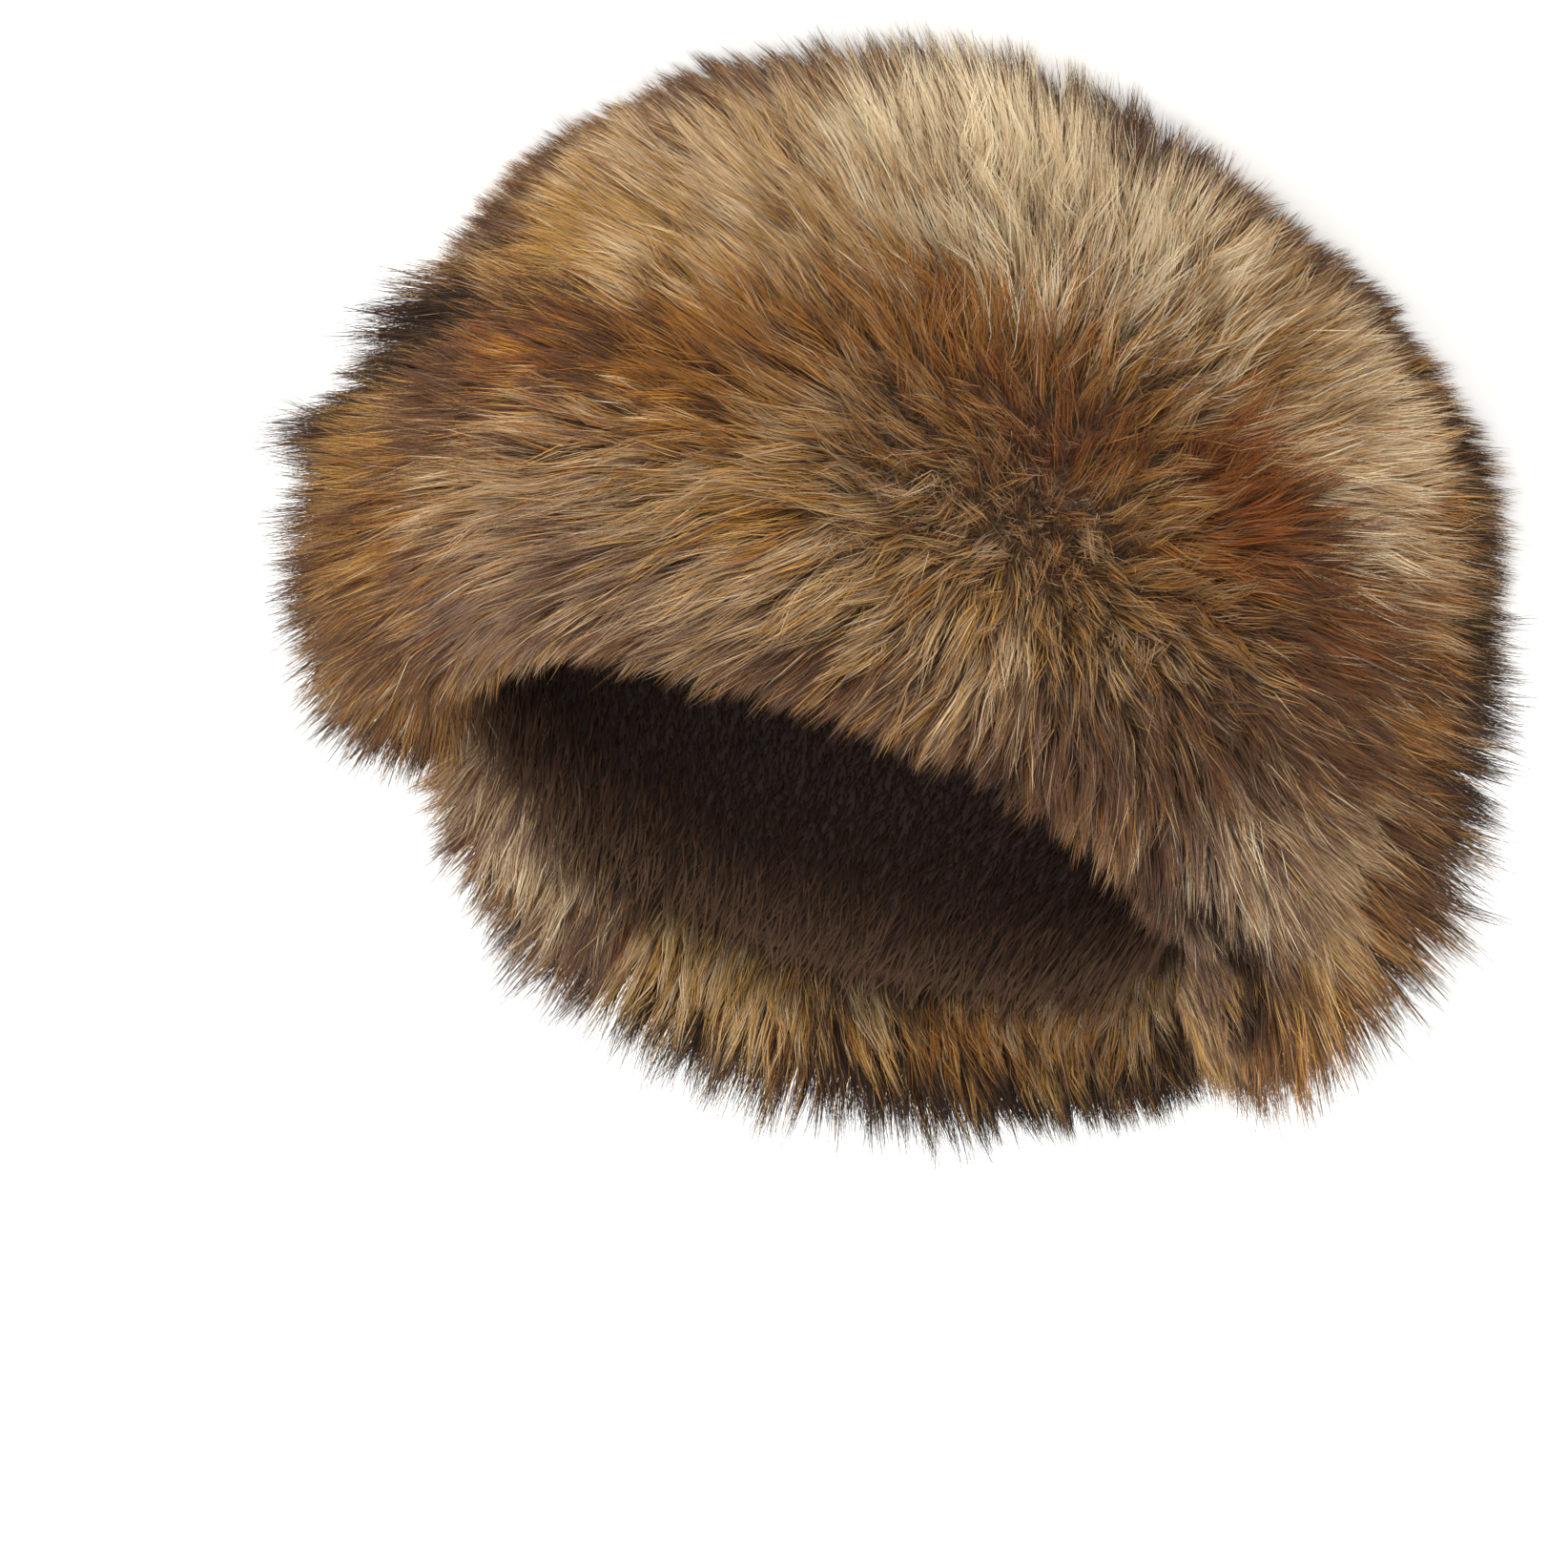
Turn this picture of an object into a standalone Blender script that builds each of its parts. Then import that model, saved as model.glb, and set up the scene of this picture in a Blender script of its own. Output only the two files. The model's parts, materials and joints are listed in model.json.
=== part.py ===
"""A fur headband at its real size, resting on the rim that is uppermost when it is worn.

The front panel is a wide padded strip of deep fur. It bulges most in the middle of the forehead and
ends in a lobe on each side. A short back panel closes the ring, and the fur is pinched into a crease
where the two meet. Pointed locks grow out of the padding of both panels. A thin plush lining stands
inside them, open at both ends for the head. Lengths are in metres and angles in degrees. +Z is up, the
front faces -Y, and angles run from the front towards +X.
"""

import math
import random
from collections import namedtuple

import bmesh
import bpy
from mathutils import Vector

# Opening and lining
OPENING_WIDTH = 0.188  # inside the lining, ear to ear
OPENING_LENGTH = 0.196  # inside the lining, forehead to nape
LINING_WALL = 0.0018
LINING_HEIGHT = 0.116
LINING_FOOT = 0.014  # height of the lining's lower edge
LINING_SIDES = 60
SEAT_GAP = 0.0004  # between the lining and the padding, and between the panels

# Padding
PAD_HEIGHT = 0.146
PAD_DEPTH = 0.032  # from the lining outwards
LEFT_CREASE = 119.0  # where the panels meet, on the +X side
RIGHT_CREASE = -104.0  # and on the -X side
CREASE_DEPTH = 0.40  # share of the padding's depth and of the locks that a crease takes away
CREASE_DROP = 0.14  # share of the padding's height that a crease takes away
CREASE_WIDTH = 9.0
CELL_STRAY = 0.17  # share of a cell by which the roots of the locks stray from even rows

# Locks of fur
LOCK_LENGTH = 0.030
FRONT_COLUMNS = 34
BACK_COLUMNS = 18
SHOULDER_AT = 0.55  # share of the length at which a lock starts to taper to its point
SHOULDER_WIDTH = 0.94  # share of the root's width that is left there, sideways
SHOULDER_DEPTH = 0.80  # and upwards
SIDE_LEAN = 14.0  # most that locks are combed sideways, away from the front
LENGTH_SPREAD = 0.22  # shares by which locks differ, and by which their tips stray from the middle
TIP_STRAY = 0.24
TIP_CURL = 8.0  # how much further a tip is combed than its root
FLOOR_CLEARANCE = 0.0008  # of the lowest tips
SEED = 7

# Furrow in the fur of the front panel, from its +X side towards the middle
FURROW_START = (30.0, 0.70)  # angle and share of the padding's height
FURROW_END = (96.0, 0.42)
FURROW_WIDTH = 0.075  # as a share of the padding's height
FURROW_DEPTH = 0.42  # share of a lock's length that is missing in it
SETBACK = 0.20  # share of the reach by which the fur stands back below the furrow
SETBACK_FADE = 22.0  # angle over which that fades at the furrow's ends

# How the fur swells round the ring: shares of the padding's height and of what stands out of the lining
Swell = namedtuple("Swell", "angle height reach")
SWELLS = (
    Swell(-180, 1.04, 1.12),
    Swell(-150, 1.03, 1.08),
    Swell(-120, 1.02, 1.08),
    Swell(-84, 1.11, 1.02),
    Swell(-60, 1.06, 0.91),
    Swell(-30, 1.02, 0.98),
    Swell(0, 1.02, 1.17),
    Swell(30, 1.02, 1.06),
    Swell(60, 1.00, 0.92),
    Swell(90, 0.96, 1.08),
    Swell(120, 0.92, 1.08),
    Swell(150, 1.00, 1.08),
    Swell(180, 1.04, 1.12),
)

# The padding's outer side from the floor up and over to the lining: shares of its height and depth,
# then how steeply a lock rises from the row of faces that starts here, and its share of the length
Ring = namedtuple("Ring", "height depth rise length")
OUTER_SIDE = (
    Ring(0.000, 0.50, 1, 0.70),
    Ring(0.030, 0.70, 2, 0.92),
    Ring(0.095, 0.84, 3, 1.00),
    Ring(0.180, 0.93, 4, 1.00),
    Ring(0.275, 0.98, 6, 1.00),
    Ring(0.380, 1.00, 9, 1.00),
    Ring(0.485, 1.00, 14, 1.00),
    Ring(0.590, 0.98, 21, 1.00),
    Ring(0.690, 0.94, 30, 1.00),
    Ring(0.785, 0.88, 41, 0.98),
    Ring(0.870, 0.78, 54, 0.94),
    Ring(0.940, 0.63, 68, 0.86),
    Ring(0.985, 0.43, 82, 0.74),
    Ring(0.990, 0.20, 96, 0.50),
    Ring(0.955, 0.03, 0, 0.0),
)
# The rest of the way round: down the lining and back to the face that rests on the floor
INNER_SIDE = (
    Ring(0.900, 0.0, 0, 0.0),
    Ring(0.500, 0.0, 0, 0.0),
    Ring(0.060, 0.0, 0, 0.0),
    Ring(0.000, 0.12, 0, 0.0),
)
LOCK_ROWS = sum(ring.length > 0 for ring in OUTER_SIDE)

COLLECTION = "fur_headband"
FUR_BROWN = (0.235, 0.140, 0.065)
LINING_BROWN = (0.020, 0.011, 0.009)


def clear_scene():
    """Removes every object, so that the model starts from nothing."""
    for thing in list(bpy.data.objects):
        bpy.data.objects.remove(thing, do_unlink=True)


def plain_material(name, colour, roughness):
    """A Principled material of one colour."""
    material = bpy.data.materials.new(name)
    material.use_nodes = True
    shader = material.node_tree.nodes["Principled BSDF"]
    shader.inputs["Base Color"].default_value = (*colour, 1.0)
    shader.inputs["Roughness"].default_value = roughness
    shader.inputs["Metallic"].default_value = 0.0
    return material


def add_part(name, mesh, material, collection):
    """Makes the object for a mesh, in its collection and with its material."""
    part = bpy.data.objects.new(name, mesh)
    part.data.materials.append(material)
    collection.objects.link(part)
    return part


def swell_at(angle):
    """Shares of the height and of the reach at an angle, eased between the rows of SWELLS."""
    for low, high in zip(SWELLS[:-1], SWELLS[1:]):
        if low.angle <= angle <= high.angle:
            along = (angle - low.angle) / (high.angle - low.angle)
            eased = (1 - math.cos(math.pi * along)) / 2
            return (
                low.height + (high.height - low.height) * eased,
                low.reach + (high.reach - low.reach) * eased,
            )
    raise ValueError(f"no swell at {angle} degrees")


def within_turn(angle):
    """The same direction as an angle from -180 to 180."""
    return (angle + 180.0) % 360.0 - 180.0


def crease_at(angle):
    """How much of a crease an angle has, from 0 to 1 in its middle."""
    offs = (within_turn(angle - crease) / CREASE_WIDTH for crease in (LEFT_CREASE, RIGHT_CREASE))
    return max(math.exp(-off * off) for off in offs)


def pad_size(angle):
    """Height and depth of the padding at an angle."""
    height, reach = swell_at(within_turn(angle))
    crease = crease_at(angle)
    return (
        PAD_HEIGHT * height * (1 - CREASE_DROP * crease),
        PAD_DEPTH * reach * (1 - CREASE_DEPTH * crease),
    )


def outwards(angle):
    """The level direction out of the ring at an angle."""
    turn = math.radians(angle)
    return Vector((math.sin(turn), -math.cos(turn), 0.0))


def setback_at(angle, height_share):
    """Share of the reach that is left at a place: less below the furrow of the front panel."""
    (start, low), (end, high) = FURROW_START, FURROW_END
    outside = max(start - angle, angle - end, 0.0) / SETBACK_FADE
    line = low + (high - low) * (angle - start) / (end - start)
    below = min(max((line - height_share) / FURROW_WIDTH, 0.0), 1.0)
    return 1 - SETBACK * below * max(0.0, 1.0 - outside)


def pad_point(angle, ring, chord_slack):
    """A point of the padding: at a ring of its section, at an angle round the opening."""
    height, depth = pad_size(angle)
    depth *= setback_at(within_turn(angle), ring.height)
    back = LINING_WALL + SEAT_GAP + chord_slack
    way = outwards(angle)
    return Vector(
        (
            way.x * (OPENING_WIDTH / 2 + back + depth * ring.depth),
            way.y * (OPENING_LENGTH / 2 + back + depth * ring.depth),
            height * ring.height,
        )
    )


def furrow_at(angle, height_share):
    """How deep in the furrow a place on the front panel lies, from 0 to 1 in its middle."""
    (start, low), (end, high) = FURROW_START, FURROW_END
    along = (angle - start) / (end - start)
    off = (height_share - low - (high - low) * along) / FURROW_WIDTH
    fade = max(0.0, 1.0 - max(0.0, -along, along - 1.0) * 5.0)
    return fade * math.exp(-off * off)


def combed_at(angle):
    """How far the fur is combed sideways, from -1 to 1: not at all in front and at the creases."""
    if angle > LEFT_CREASE:
        return 0.0
    end = LEFT_CREASE if angle > 0 else RIGHT_CREASE
    return math.copysign(math.sin(math.pi * angle / end), angle)


def grow_lock(bm, face, angle, angle_step, row, draw):
    """Draws one face of the padding out into a lock that tapers to a point."""
    ring, above = OUTER_SIDE[row], OUTER_SIDE[row + 1]
    height_share = (ring.height + above.height) / 2
    _, reach = swell_at(within_turn(angle))
    length = LOCK_LENGTH * reach * ring.length
    length *= 1 - CREASE_DEPTH * crease_at(angle)
    length *= 1 - FURROW_DEPTH * furrow_at(angle, height_share)
    length *= setback_at(within_turn(angle), height_share)
    length *= 1 + LENGTH_SPREAD * draw.uniform(-1, 0.6)

    out, up = outwards(angle), Vector((0.0, 0.0, 1.0))
    side = up.cross(out)
    lean = math.tan(math.radians(SIDE_LEAN)) * combed_at(angle)

    def way(rise):
        slope = math.radians(rise)
        return out * math.cos(slope) + up * math.sin(slope) + side * lean

    root = face.calc_center_median()
    width = angle_step * math.pi / 180 * Vector((root.x, root.y)).length
    shoulder_at = root + way(ring.rise) * length * SHOULDER_AT
    shoulder = bmesh.ops.extrude_discrete_faces(bm, faces=[face])["faces"][0]
    for vert in shoulder.verts:
        sideways = side * side.dot(vert.co - root)
        rest = vert.co - root - sideways
        vert.co = shoulder_at + sideways * SHOULDER_WIDTH + rest * SHOULDER_DEPTH
        vert.co.z = max(vert.co.z, FLOOR_CLEARANCE / 2)
    tip = bmesh.ops.poke(bm, faces=[shoulder])["verts"][0]
    curl = TIP_CURL * (1 if ring.rise > 15 else -0.2)
    tip.co = shoulder_at + way(ring.rise + curl) * length * (1 - SHOULDER_AT)
    tip.co += side * width * TIP_STRAY * draw.uniform(-1, 1)
    tip.co += up * width * TIP_STRAY * draw.uniform(-1, 1)
    tip.co.z = max(tip.co.z, FLOOR_CLEARANCE)


def strayed(ring, below, above, draw):
    """A ring moved a little towards one of its neighbours in the section."""
    share = CELL_STRAY * draw.uniform(-1, 1)
    towards = above if share > 0 else below
    return ring._replace(
        height=ring.height + (towards.height - ring.height) * abs(share),
        depth=ring.depth + (towards.depth - ring.depth) * abs(share),
    )


def pad_loop(bm, angle, step, is_end, chord_slack, draw):
    """The vertices of one section of the padding. Away from the panel's ends, its outer side is uneven."""
    loop = []
    for number, ring in enumerate((*OUTER_SIDE, *INNER_SIDE)):
        place, at = ring, angle
        if 0 < number < LOCK_ROWS and not is_end:
            place = strayed(ring, OUTER_SIDE[number - 1], OUTER_SIDE[number + 1], draw)
            at = angle + step * CELL_STRAY * draw.uniform(-1, 1)
        loop.append(bm.verts.new(pad_point(at, place, chord_slack)))
    return loop


def make_panel(name, first, last, columns, material, collection):
    """Lofts the padding of a panel from one angle to another, closes its ends and grows its locks."""
    step = (last - first) / columns
    inner_reach = OPENING_LENGTH / 2 + LINING_WALL
    chord_slack = inner_reach * (1 / math.cos(math.radians(step / 2)) - 1)
    draw = random.Random(SEED + columns)
    bm = bmesh.new()
    loops = [
        pad_loop(bm, first + step * column, step, column in (0, columns), chord_slack, draw)
        for column in range(columns + 1)
    ]
    around = len(loops[0])
    cells = []
    for column, (near, far) in enumerate(zip(loops[:-1], loops[1:])):
        for row in range(around):
            after = (row + 1) % around
            face = bm.faces.new((near[row], far[row], far[after], near[after]))
            if row < LOCK_ROWS:
                cells.append((face, first + step * (column + 0.5), row))
    bm.faces.new(loops[0])
    bm.faces.new(reversed(loops[-1]))
    bmesh.ops.recalc_face_normals(bm, faces=bm.faces)
    for face, angle, row in cells:
        grow_lock(bm, face, angle, step, row, draw)
    mesh = bpy.data.meshes.new(name)
    bm.to_mesh(mesh)
    bm.free()
    return add_part(name, mesh, material, collection)


def make_lining(material, collection):
    """An oval tube of thin cloth: a cylinder's open wall, thickened outwards."""
    bpy.ops.mesh.primitive_cylinder_add(
        vertices=LINING_SIDES,
        radius=1.0,
        depth=LINING_HEIGHT,
        end_fill_type="NOTHING",
        location=(0.0, 0.0, 0.0),
    )
    lining = bpy.context.object
    lining.name = lining.data.name = "lining"
    for vert in lining.data.vertices:
        vert.co.x *= OPENING_WIDTH / 2
        vert.co.y *= OPENING_LENGTH / 2
        vert.co.z += LINING_FOOT + LINING_HEIGHT / 2
    wall = lining.modifiers.new("wall", "SOLIDIFY")
    wall.thickness = LINING_WALL
    wall.offset = 1.0
    wall.use_even_offset = True
    lining.data.materials.append(material)
    lining.data.shade_smooth()
    lining.data.set_sharp_from_angle(angle=math.radians(40))
    for owner in list(lining.users_collection):
        owner.objects.unlink(lining)
    collection.objects.link(lining)
    return lining


def main():
    """Builds the lining and the two fur panels round it."""
    clear_scene()
    collection = bpy.data.collections.new(COLLECTION)
    bpy.context.scene.collection.children.link(collection)
    fur = plain_material("fur", FUR_BROWN, 0.85)
    plush = plain_material("lining", LINING_BROWN, 0.95)
    make_lining(plush, collection)
    half_gap = math.degrees(SEAT_GAP / OPENING_WIDTH)
    front_ends = RIGHT_CREASE + half_gap, LEFT_CREASE - half_gap
    make_panel("fur_front", *front_ends, FRONT_COLUMNS, fur, collection)
    back_ends = LEFT_CREASE + half_gap, RIGHT_CREASE + 360.0 - half_gap
    make_panel("fur_back", *back_ends, BACK_COLUMNS, fur, collection)


main()
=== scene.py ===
"""Dresses a fur headband: long faux fur in fine tufts over two padded panels, and a plush lining.

The band rests on the rim that is uppermost when it is worn, and the camera is rolled over, so the picture
shows it the way up in which it is worn. Lengths are in metres and angles in degrees. +Z is up, the front
faces -Y, and angles run round the band from the front towards +X.
"""

import json
import logging
import math
from dataclasses import dataclass
from enum import Enum

import bpy
import numpy as np
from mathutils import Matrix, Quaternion, Vector

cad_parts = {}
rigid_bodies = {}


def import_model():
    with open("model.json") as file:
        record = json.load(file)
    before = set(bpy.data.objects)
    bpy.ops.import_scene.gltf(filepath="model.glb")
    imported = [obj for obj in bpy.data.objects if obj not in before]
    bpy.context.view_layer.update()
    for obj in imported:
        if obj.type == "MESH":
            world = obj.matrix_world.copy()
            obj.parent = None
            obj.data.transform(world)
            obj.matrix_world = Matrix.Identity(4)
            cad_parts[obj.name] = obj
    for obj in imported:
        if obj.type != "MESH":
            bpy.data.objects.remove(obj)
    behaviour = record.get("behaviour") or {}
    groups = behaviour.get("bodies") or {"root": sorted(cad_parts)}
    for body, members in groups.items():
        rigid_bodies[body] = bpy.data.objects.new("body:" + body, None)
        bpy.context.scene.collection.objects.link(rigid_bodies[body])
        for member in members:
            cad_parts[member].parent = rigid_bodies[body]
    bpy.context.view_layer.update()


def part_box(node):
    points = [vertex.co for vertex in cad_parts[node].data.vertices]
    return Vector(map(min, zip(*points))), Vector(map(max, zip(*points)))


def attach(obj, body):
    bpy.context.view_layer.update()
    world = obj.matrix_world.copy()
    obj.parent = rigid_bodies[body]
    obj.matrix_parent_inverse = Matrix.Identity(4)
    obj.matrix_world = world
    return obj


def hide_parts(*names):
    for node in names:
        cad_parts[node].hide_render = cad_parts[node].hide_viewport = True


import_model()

logging.basicConfig(level=logging.INFO, format="%(message)s")
log = logging.getLogger("fur_headband")

BODY = "root"
BAKE_MAP = "OFBake"  # the UV map of the hairs: their tone across it, and the way from root to tip along it
LINING_WALL = 0.0018  # thickness of the plush
JOINT_GAP = 0.04  # degrees between the middle of a crease and the end of each panel
HAIR_PARTS = (0, 0.35, 0.7, 1)  # shares of the way along a hair, and the shares of its width there
HAIR_TAPER = (0.75, 1.0, 0.72, 0.1)
HAIR_ON_MAP = 0.005  # half of a hair's width on its UV map

Colour = tuple[float, float, float, float]  # linear red, green, blue and alpha
Stops = list[tuple[float, Colour]]  # places from 0 to 1, each with its colour


class Slot(Enum):
    """The record's material slots."""

    FUR = "fur"
    LINING = "lining"


class Tone(Enum):
    """The colours that a hair of the coat can have, by their place across the hairs' colour map."""

    SOOT = 0.06
    UMBER = 0.17
    RUST = 0.28
    ASH = 0.39
    AMBER = 0.50
    GOLD = 0.61
    TAN = 0.72
    SAND = 0.83
    CREAM = 0.94


@dataclass(frozen=True)
class Swell:
    """How the fur swells at one angle: shares of the padding's height and of its reach."""

    angle: float
    height: float
    reach: float


@dataclass(frozen=True)
class Ring:
    """A corner of the padding's section, and the hair that grows there.

    height and depth are shares of the padding's, rise is the hair's slope, length a share of the longest.
    """

    height: float
    depth: float
    rise: float
    length: float


@dataclass(frozen=True)
class Streak:
    """A soft streak on the coat, from one place to another.

    A place is an angle and a share of the way up the section, from the floor to the lining. spread is how far
    the streak fades to each side, in metres, and amount how much it changes in its middle.
    """

    start: tuple[float, float]
    end: tuple[float, float]
    spread: float
    amount: float

    def at(self, form: "BandForm", angle: np.ndarray, up: np.ndarray) -> np.ndarray:
        """How strongly the streak shows at places of the band.

        Args:
            form: The band.
            angle: Angles round it.
            up: Shares of the way up its section.

        Returns:
            Its amount at each place, from none to all of it.
        """
        per_degree = form.girth / 360
        middle = (self.start[0] + self.end[0]) / 2
        across = wrapped(angle - middle) * per_degree
        rise = (up - (self.start[1] + self.end[1]) / 2) * form.section
        half_across = (self.end[0] - self.start[0]) * per_degree / 2
        half_rise = (self.end[1] - self.start[1]) * form.section / 2
        squared = max(half_across**2 + half_rise**2, 1e-12)
        along = np.clip((across * half_across + rise * half_rise) / squared, -1, 1)
        far = np.hypot(across - along * half_across, rise - along * half_rise)
        return self.amount * np.exp(-((far / self.spread) ** 2))


def streaks(*rows: tuple[float, ...]) -> tuple[Streak, ...]:
    """Makes streaks from rows of six values.

    Args:
        rows: The angle and the share of the start, then those of the end, the spread and the amount.

    Returns:
        A streak for each row.
    """
    return tuple(Streak(row[:2], row[2:4], *row[4:]) for row in rows)


SWELLS = (
    Swell(-180, 1.04, 1.12),
    Swell(-150, 1.03, 1.08),
    Swell(-120, 1.02, 1.08),
    Swell(-84, 1.11, 1.02),
    Swell(-60, 1.06, 0.91),
    Swell(-30, 1.02, 0.98),
    Swell(0, 1.02, 1.17),
    Swell(30, 1.02, 1.06),
    Swell(60, 1.00, 0.92),
    Swell(90, 0.96, 1.08),
    Swell(120, 0.92, 1.08),
    Swell(150, 1.00, 1.08),
    Swell(180, 1.04, 1.12),
)

# The padding's section from the floor up its outer side, over the top and down to the lining's upper edge
RINGS = (
    Ring(0.000, 0.50, 1, 0.70),
    Ring(0.030, 0.70, 2, 0.92),
    Ring(0.095, 0.84, 3, 1.00),
    Ring(0.180, 0.93, 4, 1.00),
    Ring(0.275, 0.98, 6, 1.00),
    Ring(0.380, 1.00, 9, 1.00),
    Ring(0.485, 1.00, 10, 1.00),
    Ring(0.590, 0.98, 15, 1.00),
    Ring(0.690, 0.94, 22, 1.00),
    Ring(0.785, 0.88, 31, 0.98),
    Ring(0.870, 0.78, 43, 0.94),
    Ring(0.940, 0.63, 56, 0.88),
    Ring(0.985, 0.43, 70, 0.80),
    Ring(0.990, 0.20, 86, 0.70),
    Ring(0.955, 0.03, 100, 0.58),
    Ring(0.900, 0.00, 110, 0.46),
)

# The usual mix of hairs all over the coat
USUAL_MIX = {
    Tone.SOOT: 0.06,
    Tone.UMBER: 0.20,
    Tone.RUST: 0.07,
    Tone.ASH: 0.16,
    Tone.AMBER: 0.15,
    Tone.GOLD: 0.18,
    Tone.TAN: 0.14,
    Tone.SAND: 0.03,
    Tone.CREAM: 0.01,
}
# Where the fur is shorter or longer than the construction's locks, as shares of its length
TRIMS = streaks(
    (84, 0.16, 60, 0.05, 0.018, -0.22),
    (50, 0.06, -10, 0.06, 0.015, -0.10),
    (-10, 0.05, -80, 0.13, 0.020, -0.24),
    (-26, 0.07, -58, 0.09, 0.013, -0.24),
    (-82, 0.14, -82, 0.24, 0.015, -0.14),
    (-83, 0.47, -84, 0.56, 0.016, 0.24),
    (-83, 0.62, -86, 0.77, 0.016, 0.44),
    (206, 0.86, 152, 0.85, 0.012, 0.48),
    (-76, 0.34, -83, 0.54, 0.013, 0.12),
    (100, 0.88, 104, 0.86, 0.014, 0.25),
    (85, 0.46, 83, 0.31, 0.012, 0.85),
    (80, 0.26, 60, 0.14, 0.010, -0.12),
    (-98, 0.90, -106, 0.94, 0.008, 0.50),
    (-104, 0.00, -104, 0.20, 0.010, 0.80),
    (97, 0.72, 91, 0.56, 0.012, 0.19),
    (-53, 0.845, -82, 0.85, 0.008, -0.42),
    (-24, 0.96, -50, 0.95, 0.010, -0.32),
    (44, 0.94, -16, 0.93, 0.010, -0.30),
    (-38, 0.12, -60, 0.14, 0.010, -0.18),
    (54, 0.16, 70, 0.24, 0.010, -0.12),
    (-76, 0.77, -84, 0.79, 0.010, 0.16),
    (-62, 0.95, -98, 0.96, 0.010, -0.25),
)
# Where little light gets between the hairs: in the crease and towards the opening
SHADOWS = streaks(
    (-53, 0.845, -79, 0.85, 0.0080, 0.95),
    (-36, 0.78, -48, 0.87, 0.008, 0.70),
    (-20, 0.90, -44, 0.88, 0.010, 0.65),
    (34, 0.90, -18, 0.90, 0.009, 0.50),
    (-54, 0.96, -78, 0.98, 0.009, 0.60),
    (115, 0.95, 119, 0.75, 0.009, 0.35),
    (104, 0.99, 206, 0.99, 0.011, 0.80),
    (-104, 1.00, 104, 1.00, 0.005, 0.50),
)
# Where the fur of the upper rim is combed further outwards or inwards, in degrees
PARTINGS = streaks(
    (-60, 0.95, -98, 0.95, 0.014, -55.0),
    (-42, 0.82, -56, 0.80, 0.012, 18.0),
    (84, 0.44, 83, 0.29, 0.012, 22.0),
)
# Where the fur leans further along the band, towards greater angles, as a slope
LEANS = streaks(
    (-108, 0.94, -160, 0.95, 0.022, 0.9),
)
# Where the tips are dipped dark, as shares of the hairs: the sides, and outside on the rim behind
DIPPED = streaks(
    (66, 0.10, 88, 0.50, 0.018, 0.90),
    (88, 0.56, 103, 0.88, 0.018, 0.90),
    (-70, 0.10, -80, 0.40, 0.020, 0.85),
    (-83, 0.45, -90, 0.80, 0.014, 0.90),
    (-84, 0.84, -96, 0.86, 0.010, 0.80),
    (140, 0.84, 240, 0.84, 0.010, 0.75),
    (130, 0.50, 235, 0.50, 0.030, 0.30),
    (60, 0.03, -44, 0.03, 0.012, 0.60),
    (48, 0.28, 24, 0.34, 0.020, 0.30),
)
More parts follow.
